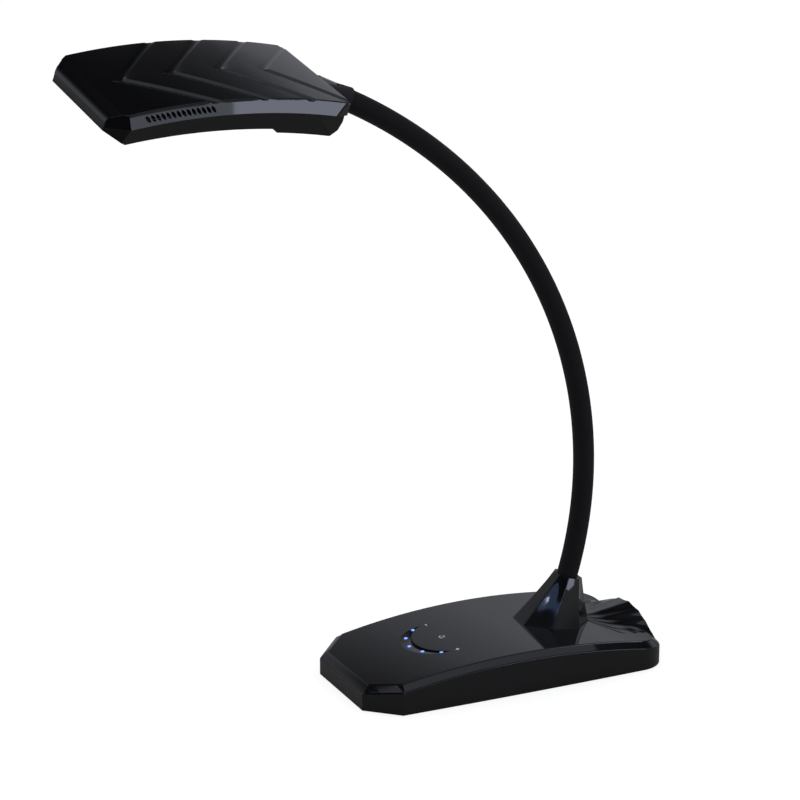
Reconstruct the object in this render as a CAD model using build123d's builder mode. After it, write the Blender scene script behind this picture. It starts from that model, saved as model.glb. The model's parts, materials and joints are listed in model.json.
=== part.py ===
from build123d import *

import os
from math import asin, cos, degrees, pi, radians, sin, sqrt, tan

# Gooseneck desk lamp with a touch-controlled LED head and a charging base.
# Units are millimetres and degrees. +Z is up, the front (controls and head) faces -Y,
# and the origin is the centre of the base's footprint on the resting plane.

os.makedirs("parts", exist_ok=True)

# ---------------------------------------------------------------- driving dimensions
# Fits shared by all sub-assemblies
slip = 0.2                     # clearance between pieces that slide together at assembly
body_gap = 0.3                 # running gap between bodies that move against each other
screw_shank_radius = 1.45
screw_head_radius = 2.8
screw_head_height = 2.2
screw_slot = 0.7

# Base footprint: a long octagon with a straight front, bowed sides and rounded rear corners
base_length = 246.0
base_front_half = 37.5
base_shoulder_half = 59.0
base_shoulder_length = 23.0
base_side_half = 63.0
base_side_bow = 1.3
base_corner_radius = 22.0
base_wall = 2.5
base_floor = 3.0
rest_gap = 0.5                 # the housing's edge above the resting plane
rim_crown = 25.9               # height of the wall's top edge at mid length
rim_arch_drop = 13.07          # side view arch: how far the ends lie below mid length
bevel_inset = 6.0
bevel_rise = 5.0
lip_thickness = 1.6
lip_drop = 3.0

# Grip pad, ballast and base screws
pad_thickness = 1.5
pad_border = 7.0
ballast_half_width = 39.0
ballast_length = 150.0
ballast_thickness = 7.0
ballast_shift = -20.0
ballast_corner = 12.0
boss_radius = 4.0
boss_height = 4.0
base_screw_length = 11.0
base_screw_edge = 9.5          # screw centres in from the widest side, and from the ends
base_screw_front_edge = 35.0
base_screw_rear_edge = 25.0
base_screw_taper = 3.5         # the end screws sit this much further in

# Touch controls: a crescent slider round a power mark, with five indicator lights
control_y = -39.5
crescent_outer_radius = 26.6
crescent_outer_shift = -4.9
crescent_inner_radius = 29.1
crescent_inner_shift = 7.1
crescent_recess = 0.6
crescent_panel = 0.4
light_count = 5
light_step = 31.5              # degrees between indicator lights
light_ring_radius = 27.0
light_radius = 1.3
mark_depth = 0.4
mark_offset = 26.3             # minus and plus marks, either side of the power mark
mark_length = 3.0
mark_width = 0.7
power_ring_radius = 1.9

control_board_width = 74.0
control_board_length = 62.0
board_thickness = 1.6
control_board_height = 19.0
control_post_radius = 3.0
chip_height = 0.8

# Rear sockets
socket_offset = 26.0
port_board_width = 84.0
port_board_length = 26.0
usb_width = 13.1
usb_height = 5.7
usb_depth = 14.0
usb_sheet = 0.3
usb_tongue_thickness = 1.8
usb_tongue_width = 11.1
usb_tongue_recess = 2.2
inlet_width = 9.6
inlet_depth = 13.0
inlet_nose_radius = 3.8
inlet_bore_radius = 3.0
inlet_bore_depth = 11.0
inlet_pin_radius = 1.0
inlet_pin_recess = 4.8

# Pedestal: a faceted cone that leans the neck back
pedestal_front_half = 9.2
pedestal_front_y = 25.2
pedestal_knee_half = 23.8
pedestal_knee_y = 42.6
pedestal_side_half = 27.6
pedestal_side_y = 64.0
pedestal_rear_half = 11.6
pedestal_rear_y = 80.5
pedestal_wall = 2.6
collar_apothem = 11.0
collar_front = 8.9             # the collar is shallower on its front side
neck_root_y = 67.6
neck_root_z = 62.0
web_thickness = 4.0
pedestal_post_radius = 4.0
pedestal_screw_places = [(0.0, 35.5), (17.5, 62.0), (-17.5, 62.0)]

# Rear cowl: a fluted arch that fans out from the pedestal over the sockets
cowl_wall = 2.2
cowl_arches = [                # share of its length, then half widths and rises over the base's top
    (0.0, [(0.0, 0.6), (5.0, 0.5), (8.5, 0.4), (11.0, 0.3), (13.5, 0.2)]),
    (0.313, [(0.0, 3.1), (11.0, 2.3), (20.0, 1.6), (30.0, 0.9), (40.0, 0.3)]),
    (0.645, [(0.0, 7.2), (13.5, 5.8), (23.5, 3.4), (33.0, 1.2), (42.0, -1.0)]),
    (1.0, [(0.0, 12.2), (15.0, 10.0), (26.0, 5.1), (36.5, -1.4), (43.5, -4.8)]),
]

# Gooseneck: a steel core in a smooth sleeve, leaning back at the root and bowing forward
neck_root_lean = 16.7          # degrees back from upright at the collar
neck_root_bend_radius = 289.0
neck_tip_bend_radius = 379.0
neck_free_length = 463.0       # collar to the mouth of the head's boot
neck_joints = 8
neck_end_share = 0.06          # stiff stretch at each end, as a share of the free length
neck_radius = 8.0
sleeve_wall = 1.4
core_wall = 3.6
neck_ball_radius = 10.0
neck_root_depth = 6.0
neck_tip_depth = 12.5
ferrule_length = 13.0
ferrule_wall = 1.6
stud_radius = 3.0
stud_bore_radius = 1.5
nut_height = 5.0
nut_apothem = 5.0
washer_radius = 6.2
washer_thickness = 1.2

# Head: an arched, chamfered shell with roof-like grooves, tilted and rolled on the neck
head_droop = 13.3              # degrees from the neck's end direction down to the head
head_roll = 10.9
head_yaw = 3.8
head_mount_drop = 15.1         # neck centre below the top's rear edge, at the neck's free end
head_mount_reach = 30.6
head_arch_radius = 444.0
head_under_flatter = 21.0      # the underside's arch is this much wider than the top's
head_under_crown = 22.8
head_thickness = 22.6
head_cover_depth = 9.5         # the parting line below the top
head_wall = 2.0
head_top_half = 57.0
head_side_half = 60.2
head_under_half = 55.4
head_front_half = 46.0
head_rear_half = 51.5
head_front_y = -166.5
head_rear_y = 2.5
head_shoulder_length = 12.5
head_waist_length = 24.0
head_top_bevel = 6.0
head_top_bevel_drop = 3.2
head_front_drop = 12.0
head_under_bevel = 13.0
head_rear_drop = 15.5
head_rear_step = 2.6
head_rear_knee = 21.6
under_box_front_y = -46.0      # the deeper stretch of the underside, near the neck
under_box_rear_y = -6.5
under_box_drop = 3.0
groove_depth = 0.9
groove_width = 1.9
groove_tips = [-141.4, -106.6, -72.3, -39.5]
groove_sweep = 37.2            # degrees that each arm sweeps back
vent_count = 14
vent_first_y = -143.0
vent_pitch = 3.4
vent_width = 1.9
vent_height = 4.6
vent_slant = 28.0
vent_drop = 5.6

# Head screws, going up from the housing into the cover's posts
head_screw_edges = [(16.2, 32.5), (9.7, 150.5)]   # in from the side, and from the rear edge
head_boss_radius = 3.6
head_screw_seat = 17.5         # depths below the top
post_depth = 14.0
screw_tip_depth = 8.0
thread_spare = 0.6             # hole left beyond a screw's tip

# Light: a lens on the underside's ledge, a reflector frame, and chips on a metal board
lens_front_y = -150.0
lens_rear_y = -56.0
lens_half = 46.0
lens_thickness = 1.8
lens_ledge = 2.5
reflector_height = 6.0
reflector_wall = 1.5
led_board_thickness = 1.2
led_rows = 4
led_columns = 6
led_row_pitch = 21.0
led_column_pitch = 14.0
led_length = 3.5
led_width = 2.8
led_height = 0.8
spreader_thickness = 1.5
spreader_border = 2.0
led_board_screw_places = [(40.0, -140.0), (40.0, -66.0)]
board_fixing_length = 6.7

# Boot and pad that hold the neck's far end
pad_radius = 7.2
pad_reach = 7.5
boot_half_width = 14.0
boot_half_height = 10.0
boot_root_drop = 13.5
boot_root_sink = 6.0
boot_mouth_half = 9.2
boot_mouth_corner = 8.5
boot_overhang = 1.0
boot_corner = 3.0

# ---------------------------------------------------------------- derived places
front_y = -base_length / 2
rear_y = base_length / 2
rim_arch_radius = (rear_y**2 + rim_arch_drop**2) / (2 * rim_arch_drop)
top_crown = rim_crown + bevel_rise
block_reach = base_length


def arch_height(crown, y):
    """Height at length y of a side view arch whose highest point is crown."""
    return crown - rim_arch_radius + sqrt(rim_arch_radius**2 - y**2)


def base_outline(inset=0.0):
    """The base's footprint, drawn in by inset."""
    with BuildSketch() as plan:
        with BuildLine():
            shoulder_y = front_y + base_shoulder_length
            Polyline((0, front_y), (base_front_half, front_y), (base_shoulder_half, shoulder_y))
            ThreePointArc(
                (base_shoulder_half, shoulder_y),
                ((base_shoulder_half + base_side_half) / 2 + base_side_bow, (shoulder_y + rear_y) / 2),
                (base_side_half, rear_y),
            )
            Line((base_side_half, rear_y), (0, rear_y))
            mirror(about=Plane.YZ)
        make_face()
        fillet(plan.vertices().group_by(Axis.Y)[-1], radius=base_corner_radius)
        if inset:
            offset(amount=-inset, kind=Kind.INTERSECTION)
    return plan.sketch


def arched_block(inset, crown, bevelled=False):
    """A solid on the footprint whose top follows the base's side view arch."""
    with BuildPart() as block:
        add(base_outline(inset))
        extrude(amount=crown + bevel_rise)
        with BuildSketch(Plane.YZ) as side:
            with BuildLine():
                edge_height = arch_height(crown, block_reach)
                ThreePointArc((-block_reach, edge_height), (0, crown), (block_reach, edge_height))
                Polyline(
                    (block_reach, edge_height), (block_reach, -crown * 4),
                    (-block_reach, -crown * 4), (-block_reach, edge_height),
                )
            make_face()
        extrude(amount=base_side_half * 2, both=True, mode=Mode.INTERSECT)
        if bevelled:
            top = block.faces().sort_by(Axis.Z)[-1]
            chamfer(top.edges(), length=bevel_inset, length2=bevel_rise, reference=top)
    return block.part


def both_sides(places):
    """Each place and its mirror image across the middle plane."""
    return [(side * x, y) for x, y in places for side in (-1, 1)]


def screw(length):
    """A pan head screw standing on its head, which lies below z = 0."""
    with BuildPart() as fastener:
        with Locations((0, 0, -screw_head_height)):
            Cylinder(
                screw_head_radius, screw_head_height,
                align=(Align.CENTER, Align.CENTER, Align.MIN),
            )
        fillet(fastener.edges().sort_by(Axis.Z)[0], radius=screw_head_height * 0.4)
        Cylinder(
            screw_shank_radius, length, align=(Align.CENTER, Align.CENTER, Align.MIN)
        )
        with Locations((0, 0, -screw_head_height)):
            for turn in (0, 90):
                Box(
                    screw_head_radius * 1.2, screw_slot, screw_head_height,
                    rotation=(0, 0, turn), mode=Mode.SUBTRACT,
                )
    return fastener.part


def bolt_up(places, seat, length):
    """A group of identical screws with their heads' seats at the height seat."""
    return Compound(
        children=[Pos(x, y, seat) * screw(length) for x, y in places]
    )


# ---------------------------------------------------------------- base shells
base_floor_top = rest_gap + base_floor
boss_top = base_floor_top + boss_height
boss_seat = boss_top - 2.0
pad_top = pad_thickness
screw_x = base_side_half - base_screw_edge
screw_places = both_sides(
    [
        (screw_x - 2 * base_screw_taper, front_y + base_screw_front_edge),
        (screw_x, base_screw_edge / 2),
        (screw_x - base_screw_taper, rear_y - base_screw_rear_edge),
    ]
)
usb_floor = base_floor_top + board_thickness
usb_centre_z = usb_floor + usb_height / 2
inlet_sink = 0.3               # the inlet's nose reaches this far below its body
inlet_centre_z = usb_floor + inlet_nose_radius - inlet_sink
control_places = both_sides(
    [
        (control_board_width / 2 - control_post_radius - 1, control_y - control_board_length / 2 + 4),
        (control_board_width / 2 - control_post_radius - 1, control_y + control_board_length / 2 - 4),
    ]
)
board_screw_length = board_thickness + 4.0
light_places = [
    (
        light_ring_radius * sin(radians(light_step * (i - (light_count - 1) / 2))),
        control_y - light_ring_radius * cos(radians(light_step * (i - (light_count - 1) / 2))),
    )
    for i in range(light_count)
]

with BuildPart() as base_housing:
    add(arched_block(0, rim_crown))
    with BuildSketch(Plane.XY.offset(base_floor_top)):
        add(base_outline(base_wall))
    extrude(amount=rim_crown, mode=Mode.SUBTRACT)
    with BuildSketch(Plane.XY.offset(base_floor_top)):
        with Locations(*screw_places):
            Circle(boss_radius)
    extrude(amount=boss_height)
    with BuildSketch():
        add(base_outline(-1))
    extrude(amount=rest_gap, mode=Mode.SUBTRACT)
    with BuildSketch():
        add(base_outline(pad_border - slip))
    extrude(amount=pad_top, mode=Mode.SUBTRACT)
    with BuildSketch():
        with Locations(*screw_places):
            Circle(screw_head_radius + slip)
    extrude(amount=boss_seat, mode=Mode.SUBTRACT)
    with BuildSketch():
        with Locations(*screw_places):
            Circle(screw_shank_radius + slip)
    extrude(amount=boss_top + 1, mode=Mode.SUBTRACT)
    with BuildSketch(Plane.XZ.offset(-rear_y - 1)):
        with Locations((socket_offset, usb_centre_z)):
            Rectangle(usb_width + 2 * slip, usb_height + 2 * slip)
        with Locations((-socket_offset, inlet_centre_z)):
            Circle(inlet_nose_radius + slip)
    extrude(amount=base_wall + 2, mode=Mode.SUBTRACT)
base_housing.part.label = "base_housing"

with BuildSketch() as crescent:
    with Locations((0, control_y + crescent_outer_shift)):
        Circle(crescent_outer_radius)
    with Locations((0, control_y + crescent_inner_shift)):
        Circle(crescent_inner_radius, mode=Mode.SUBTRACT)

with BuildSketch() as touch_symbols:
    with Locations((0, control_y)):
        Circle(power_ring_radius + mark_width / 2)
        Circle(power_ring_radius - mark_width / 2, mode=Mode.SUBTRACT)
    with Locations((0, control_y + power_ring_radius)):
        Rectangle(3 * mark_width, 2.4 * mark_width, mode=Mode.SUBTRACT)
        Rectangle(mark_width, 3 * mark_width)
    with Locations((-mark_offset, control_y), (mark_offset, control_y)):
        Rectangle(mark_length, mark_width)
    with Locations((mark_offset, control_y)):
        Rectangle(mark_width, mark_length)

with BuildSketch() as light_holes:
    with Locations(*light_places):
        Circle(light_radius + slip)

top_inner = top_crown - base_wall
wire_hole_radius = 6.0
wire_hole_setback = 10.0


def inlay(outline, top, bottom):
    """The outline's column between two of the base's side view arches."""
    with BuildPart() as piece:
        add(outline)
        extrude(amount=top_crown + bevel_rise)
        add(arched_block(0, top), mode=Mode.INTERSECT)
        add(arched_block(-1, bottom), mode=Mode.SUBTRACT)
    return piece.part


with BuildPart() as cover_lip:
    add(arched_block(base_wall + slip, rim_crown + lip_thickness))
    add(arched_block(base_wall + slip + lip_thickness, top_crown), mode=Mode.SUBTRACT)
    add(arched_block(-1, rim_crown - lip_drop), mode=Mode.SUBTRACT)
    with BuildSketch():
        with Locations((0, rear_y)):
            Rectangle(port_board_width, port_board_length)
    extrude(amount=top_crown, mode=Mode.SUBTRACT)

with BuildPart() as cover_posts:
    with BuildSketch(Plane.XY.offset(boss_top)):
        with Locations(*screw_places):
            Circle(boss_radius)
    extrude(amount=top_crown)
    with BuildSketch(Plane.XY.offset(control_board_height + board_thickness)):
        with Locations(*control_places):
            Circle(control_post_radius)
    extrude(amount=top_crown)
    add(arched_block(base_wall / 2, top_crown - base_wall / 2), mode=Mode.INTERSECT)

with BuildPart() as base_cover:
    add(arched_block(0, top_crown, bevelled=True))
    add(arched_block(base_wall, top_inner, bevelled=True), mode=Mode.SUBTRACT)
    add(arched_block(-1, rim_crown), mode=Mode.SUBTRACT)
    add(cover_lip.part)
    add(cover_posts.part)
    with BuildSketch(Plane.XY.offset(boss_top - 1)):
        with Locations(*screw_places):
            Circle(screw_shank_radius + slip / 4)
    extrude(amount=base_screw_length - 1, mode=Mode.SUBTRACT)
    with BuildSketch(Plane.XY.offset(control_board_height)):
        with Locations(*control_places):
            Circle(screw_shank_radius + slip / 4)
    extrude(amount=board_screw_length, mode=Mode.SUBTRACT)
    with BuildSketch(Plane.XY.offset(control_board_height + board_thickness)):
        add(light_holes.sketch)
    extrude(amount=top_crown, mode=Mode.SUBTRACT)
    add(inlay(crescent.sketch, top_crown + 1, top_crown - crescent_recess), mode=Mode.SUBTRACT)
    add(inlay(touch_symbols.sketch, top_crown + 1, top_crown - mark_depth), mode=Mode.SUBTRACT)
    with BuildSketch(Plane.XY.offset(rim_crown - 5)):
        with Locations(*pedestal_screw_places):
            Circle(screw_shank_radius + slip)
        with Locations((0, neck_root_y - wire_hole_setback)):
            Circle(wire_hole_radius)
    extrude(amount=top_crown, mode=Mode.SUBTRACT)
base_cover.part.label = "base_cover"

with BuildPart() as grip_pad:
    add(base_outline(pad_border))
    extrude(amount=pad_thickness)
    chamfer(grip_pad.edges().group_by(Axis.Z)[0], length=rest_gap * 0.8)
grip_pad.part.label = "grip_pad"

with BuildPart() as ballast_plate:
    with BuildSketch(Plane.XY.offset(base_floor_top)) as slab:
        with Locations((0, ballast_shift)):
            Rectangle(2 * ballast_half_width, ballast_length)
        chamfer(slab.vertices(), length=ballast_corner)
    extrude(amount=ballast_thickness)
    chamfer(ballast_plate.edges().group_by(Axis.Z)[-1], length=0.8)
ballast_plate.part.label = "ballast_plate"

base_screws = bolt_up(screw_places, boss_seat, base_screw_length)
base_screws.label = "base_screws"

# ---------------------------------------------------------------- touch controls
board_top = control_board_height + board_thickness
with BuildPart() as control_board:
    with BuildSketch(Plane.XY.offset(control_board_height)):
        with Locations((0, control_y)):
            Rectangle(control_board_width, control_board_length)
        with Locations(*control_places):
            Circle(screw_shank_radius + slip, mode=Mode.SUBTRACT)
    extrude(amount=board_thickness)
control_board.part.label = "control_board"

control_screws = bolt_up(control_places, control_board_height, board_screw_length)
control_screws.label = "control_screws"

with BuildPart() as indicator_chips:
    with BuildSketch(Plane.XY.offset(board_top)):
        with Locations(*light_places):
            Rectangle(2 * chip_height, 2 * chip_height)
    extrude(amount=chip_height)
indicator_chips.part.label = "indicator_chips"

with BuildPart() as light_guides:
    with BuildSketch(Plane.XY.offset(board_top + chip_height)):
        with Locations(*light_places):
            Circle(light_radius)
    extrude(amount=top_crown)
    add(arched_block(0, top_crown - slip), mode=Mode.INTERSECT)
light_guides.part.label = "light_guides"

with BuildPart() as touch_crescent:
    add(inlay(crescent.sketch, top_crown - crescent_recess + crescent_panel, top_crown - crescent_recess))
    add(light_holes.sketch)
    extrude(amount=top_crown, mode=Mode.SUBTRACT)
touch_crescent.part.label = "touch_crescent"

touch_marks = inlay(touch_symbols.sketch, top_crown, top_crown - mark_depth)
touch_marks.label = "touch_marks"

# ---------------------------------------------------------------- rear sockets
port_board_y = rear_y - base_wall - slip - port_board_length / 2
with BuildPart() as port_board:
    with BuildSketch(Plane.XY.offset(base_floor_top)):
        with Locations((0, port_board_y)):
            Rectangle(port_board_width, port_board_length)
    extrude(amount=board_thickness)
port_board.part.label = "port_board"

usb_mouth_y = rear_y - base_wall
with BuildPart() as usb_shell:
    with BuildSketch(Plane.XZ.offset(-usb_mouth_y)):
        with Locations((socket_offset, usb_centre_z)):
            Rectangle(usb_width, usb_height)
            Rectangle(usb_width - 2 * usb_sheet, usb_height - 2 * usb_sheet, mode=Mode.SUBTRACT)
    extrude(amount=usb_depth)
    with BuildSketch(Plane.XZ.offset(-usb_mouth_y + usb_depth - usb_sheet)):
        with Locations((socket_offset, usb_centre_z)):
            Rectangle(usb_width, usb_height)
    extrude(amount=usb_sheet)
usb_shell.part.label = "usb_shell"

with BuildPart() as usb_tongue:
    tongue_z = usb_centre_z + usb_height / 2 - usb_sheet - usb_tongue_thickness / 2 - 0.5
    with BuildSketch(Plane.XZ.offset(-usb_mouth_y + usb_tongue_recess)):
        with Locations((socket_offset, tongue_z)):
            Rectangle(usb_tongue_width, usb_tongue_thickness)
    extrude(amount=usb_depth - usb_tongue_recess - usb_sheet)
usb_tongue.part.label = "usb_tongue"

inlet_height = inlet_centre_z + inlet_nose_radius - usb_floor
with BuildPart() as power_inlet:
    with BuildSketch(Plane.XZ.offset(-usb_mouth_y + slip)):
        with Locations((-socket_offset, usb_floor + inlet_height / 2)):
            Rectangle(inlet_width, inlet_height)
    extrude(amount=inlet_depth)
    with BuildSketch(Plane.XZ.offset(-rear_y)):
        with Locations((-socket_offset, inlet_centre_z)):
            Circle(inlet_nose_radius)
    extrude(amount=base_wall + slip)
    with BuildSketch(Plane.XZ.offset(-rear_y)):
        with Locations((-socket_offset, inlet_centre_z)):
            Circle(inlet_bore_radius)
    extrude(amount=inlet_bore_depth, mode=Mode.SUBTRACT)
power_inlet.part.label = "power_inlet"

with BuildPart() as inlet_pin:
    with BuildSketch(Plane.XZ.offset(-rear_y + inlet_pin_recess)):
        with Locations((-socket_offset, inlet_centre_z)):
            Circle(inlet_pin_radius)
    extrude(amount=inlet_bore_depth - inlet_pin_recess)
    fillet(inlet_pin.edges().sort_by(Axis.Y)[-1], radius=inlet_pin_radius * 0.6)
inlet_pin.part.label = "inlet_pin"

# ---------------------------------------------------------------- neck line


def neck_turn(length):
    """Degrees that the neck has turned forward after a length along it."""
    change = (1 / neck_tip_bend_radius - 1 / neck_root_bend_radius) / (2 * neck_free_length)
    return degrees(length / neck_root_bend_radius + change * length**2)


def along_arc(length, turn):
    """The step along an arc that starts along +Z and turns towards -Y."""
    bend = length / radians(turn)
    return Location((0, bend * (cos(radians(turn)) - 1), bend * sin(radians(turn))), (turn, 0, 0))


neck_end_length = neck_end_share * neck_free_length
joint_pitch = (neck_free_length - 2 * neck_end_length) / (neck_joints - 1)
station_lengths = [0.0]
station_lengths += [neck_end_length + i * joint_pitch for i in range(neck_joints)]
station_lengths += [neck_free_length]
neck_stations = [Location((0, neck_root_y, neck_root_z), (-neck_root_lean, 0, 0))]
neck_steps = []
for start, end in zip(station_lengths, station_lengths[1:]):
    neck_steps.append((end - start, neck_turn(end) - neck_turn(start)))
    neck_stations.append(neck_stations[-1] * along_arc(*neck_steps[-1]))
neck_root = neck_stations[0]
neck_mouth = neck_stations[-1]


def neck_piece(index, outer, inner, root_depth, tip_depth):
    """One stretch of neck tube, domed at its far end and cupped at its near end."""
    length, turn = neck_steps[index]
    bend = length / radians(turn)
    with BuildSketch() as ring:
        Circle(outer)
        Circle(inner, mode=Mode.SUBTRACT)
    with BuildPart() as dome:
        add(ring.sketch)
        extrude(amount=neck_ball_radius)
        Sphere(neck_ball_radius, mode=Mode.INTERSECT)
    with BuildPart() as piece:
        add(ring.sketch)
        revolve(axis=Axis((0, -bend, 0), (1, 0, 0)), revolution_arc=turn)
        if index < neck_joints:
            add(along_arc(length, turn) * dome.part)
        else:
            with BuildSketch(Plane(along_arc(length, turn))):
                add(ring.sketch)
            extrude(amount=tip_depth)
        if index:
            Sphere(neck_ball_radius + body_gap, mode=Mode.SUBTRACT)
        else:
            with BuildSketch():
                add(ring.sketch)
            extrude(amount=-root_depth)
    return neck_stations[index] * piece.part


core_radius = neck_radius - sleeve_wall - slip
core_bore = core_radius - core_wall
ferrule_floor = 3.0
core_root_depth = neck_root_depth + ferrule_length - ferrule_floor
core_tip_depth = neck_tip_depth + ferrule_length - ferrule_floor
neck_sleeves = []
neck_cores = []
for i in range(neck_joints + 1):
    sleeve = neck_piece(i, neck_radius, neck_radius - sleeve_wall, neck_root_depth, neck_tip_depth)
    sleeve.label = f"neck_sleeve_{i}"
    neck_sleeves.append(sleeve)
    core = neck_piece(i, core_radius, core_bore, core_root_depth, core_tip_depth)
    core.label = f"neck_core_{i}"
    neck_cores.append(core)


def ferrule(stud_reach):
    """An end fitting that grips the neck's core, with its stud pointing along -Z."""
    with BuildPart() as fitting:
        with BuildSketch():
            Circle(core_radius + ferrule_wall)
        extrude(amount=-ferrule_length)
        with BuildSketch():
            Circle(core_radius + slip / 4)
        extrude(amount=-(ferrule_length - ferrule_floor), mode=Mode.SUBTRACT)
        with BuildSketch(Plane.XY.offset(-ferrule_length)):
            Circle(stud_radius)
        extrude(amount=-stud_reach)
        with BuildSketch():
            Circle(stud_bore_radius)
        extrude(amount=-(ferrule_length + stud_reach), mode=Mode.SUBTRACT)
        chamfer(fitting.edges().sort_by(Axis.Z)[0], length=0.6)
    return fitting.part


with BuildPart() as stud_nut:
    with BuildSketch():
        RegularPolygon(nut_apothem, 6, major_radius=False)
        Circle(stud_radius + slip / 4, mode=Mode.SUBTRACT)
    extrude(amount=-nut_height)

with BuildPart() as stud_washer:
    with BuildSketch():
        Circle(washer_radius)
        Circle(stud_radius + slip, mode=Mode.SUBTRACT)
    extrude(amount=-washer_thickness)

ferrule_radius = core_radius + ferrule_wall
root_ferrule_depth = neck_root_depth + slip
web_depth = root_ferrule_depth + ferrule_length
stud_spare = 2.5
root_stud = web_thickness + washer_thickness + nut_height + stud_spare
neck_root_ferrule = neck_root * Pos(0, 0, -root_ferrule_depth) * ferrule(root_stud)
neck_root_ferrule.label = "neck_root_ferrule"
neck_root_washer = neck_root * Pos(0, 0, -web_depth - web_thickness) * stud_washer.part
neck_root_washer.label = "neck_root_washer"
neck_root_nut = (
    neck_root * Pos(0, 0, -web_depth - web_thickness - washer_thickness) * stud_nut.part
)
neck_root_nut.label = "neck_root_nut"

# ---------------------------------------------------------------- pedestal
pedestal_half_foot = [
    (pedestal_front_half, pedestal_front_y),
    (pedestal_knee_half, pedestal_knee_y),
    (pedestal_side_half, pedestal_side_y),
    (pedestal_rear_half, pedestal_rear_y),
]
foot_front_z = arch_height(top_crown, pedestal_front_y)
foot_rear_z = arch_height(top_crown, pedestal_rear_y)
foot_slope = (foot_rear_z - foot_front_z) / (pedestal_rear_y - pedestal_front_y)
foot_sink = 1.0


def pedestal_cone(inset, collar_drop, extra_sink=0.0):
    """The faceted cone from the base's top to the collar, its walls drawn in by inset."""
    foot_plane = Plane(
        origin=(0, pedestal_front_y, foot_front_z - foot_sink - extra_sink),
        x_dir=(1, 0, 0), z_dir=(0, -foot_slope, 1),
    )
    collar_plane = Plane(neck_root * Pos(0, 0, -collar_drop))
    corner = (collar_apothem - inset) * tan(pi / 8)
    flat = collar_apothem - inset
    half_collar = [(corner, inset - collar_front), (flat, -corner), (flat, corner), (corner, flat)]
    half_foot = [(x, y - pedestal_front_y) for x, y in pedestal_half_foot]
    with BuildPart() as cone:
        with BuildSketch(foot_plane):
            Polygon(*half_foot, *[(-x, y) for x, y in reversed(half_foot)], align=None)
            if inset:
                offset(amount=-inset, kind=Kind.INTERSECTION)
        with BuildSketch(collar_plane):
            Polygon(*half_collar, *[(-x, y) for x, y in reversed(half_collar)], align=None)
        loft(ruled=True)
    return cone.part


cover_envelope = arched_block(0, top_crown, bevelled=True)
pedestal_shape = pedestal_cone(0, 0)
bore_radius = neck_radius + slip
with BuildPart() as neck_boss:
    with BuildSketch(Plane(neck_root)):
        Circle(bore_radius + 2.0)
    extrude(amount=-(web_depth + web_thickness))
    with BuildSketch(Plane.XY.offset(arch_height(top_crown, rear_y))):
        with Locations(*pedestal_screw_places):
            Circle(pedestal_post_radius)
    extrude(amount=foot_front_z + 6 - arch_height(top_crown, rear_y))
    add(pedestal_shape, mode=Mode.INTERSECT)

with BuildPart() as pedestal:
    add(pedestal_shape)
    add(pedestal_cone(pedestal_wall, neck_root_depth, extra_sink=1), mode=Mode.SUBTRACT)
    add(neck_boss.part)
    with BuildSketch(Plane(neck_root)):
        Circle(bore_radius)
    extrude(amount=-web_depth, mode=Mode.SUBTRACT)
    with BuildSketch(Plane(neck_root)):
        Circle(stud_radius + slip)
    extrude(amount=-(web_depth + web_thickness + 1), mode=Mode.SUBTRACT)
    with BuildSketch(Plane.XY.offset(rim_crown - 5)):
        with Locations(*pedestal_screw_places):
            Circle(screw_shank_radius + slip / 4)
    extrude(amount=foot_front_z + 4.5 - rim_crown + 5, mode=Mode.SUBTRACT)
    add(cover_envelope, mode=Mode.SUBTRACT)
pedestal.part.label = "pedestal"

pedestal_screw_length = base_wall + 5.0
pedestal_screws = Compound(
    children=[
        Pos(x, y, arch_height(top_inner, y + screw_head_radius) - slip / 2)
        * screw(pedestal_screw_length)
        for x, y in pedestal_screw_places
    ]
)
pedestal_screws.label = "pedestal_screws"

# ---------------------------------------------------------------- rear cowl
cowl_front_y = pedestal_rear_y + body_gap


def cowl_shape(inset):
    """The fan from the pedestal to the rear edge, drawn in by inset."""
    with BuildPart() as fan:
        for share, arch in cowl_arches:
            place_y = cowl_front_y + share * (rear_y - cowl_front_y)
            top = arch_height(top_crown, place_y)
            half = [(max(x - inset, x * 0.6), top + rise - inset) for x, rise in arch]
            ends = half[-1][0], base_floor_top
            place_y = min(max(place_y, cowl_front_y + inset), rear_y - inset)
            with BuildSketch(Plane.XZ.offset(-place_y)):
                Polygon(
                    *half, ends, (-ends[0], ends[1]),
                    *[(-x, z) for x, z in reversed(half[1:])],
                    align=None,
                )
        loft(ruled=True)
    return fan.part


with BuildPart() as rear_cowl:
    add(cowl_shape(0))
    add(cowl_shape(cowl_wall), mode=Mode.SUBTRACT)
    with BuildSketch():
        add(base_outline())
    extrude(amount=top_crown * 2, mode=Mode.INTERSECT)
    add(cover_envelope, mode=Mode.SUBTRACT)
    add(pedestal_shape, mode=Mode.SUBTRACT)
rear_cowl.part.label = "rear_cowl"

# ---------------------------------------------------------------- head frame and shape
# The head is drawn lying in its own frame: the origin is the middle of the top's rear edge,
# -Y is the front, and the top and the underside are arches across it.
neck_heading = neck_turn(neck_free_length) - neck_root_lean
head_place = (
    neck_mouth
    * Location((0, 0, 0), (-neck_heading, 0, 0))
    * Location((0, 0, 0), (0, 0, head_yaw))
    * Location((0, 0, 0), (neck_heading - 90 + head_droop, 0, 0))
    * Location((0, 0, 0), (0, head_roll, 0))
    * Pos(0, -head_mount_reach, head_mount_drop)
)
neck_in_head = head_place.inverse() * neck_mouth
head_under_radius = head_arch_radius + head_under_flatter
under_centre_z = -head_under_crown - head_under_radius
head_reach = 1.4 * abs(head_front_y)


def top_arch(depth):
    """The arch at a depth below the head's top: its radius, centre height and the top's radius."""
    return (head_arch_radius - depth, -head_arch_radius, head_arch_radius)


def under_arch(rise):
    """The arch at a rise above the head's underside, in the same three values."""
    return (head_under_radius + rise, under_centre_z, head_under_radius)


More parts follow.
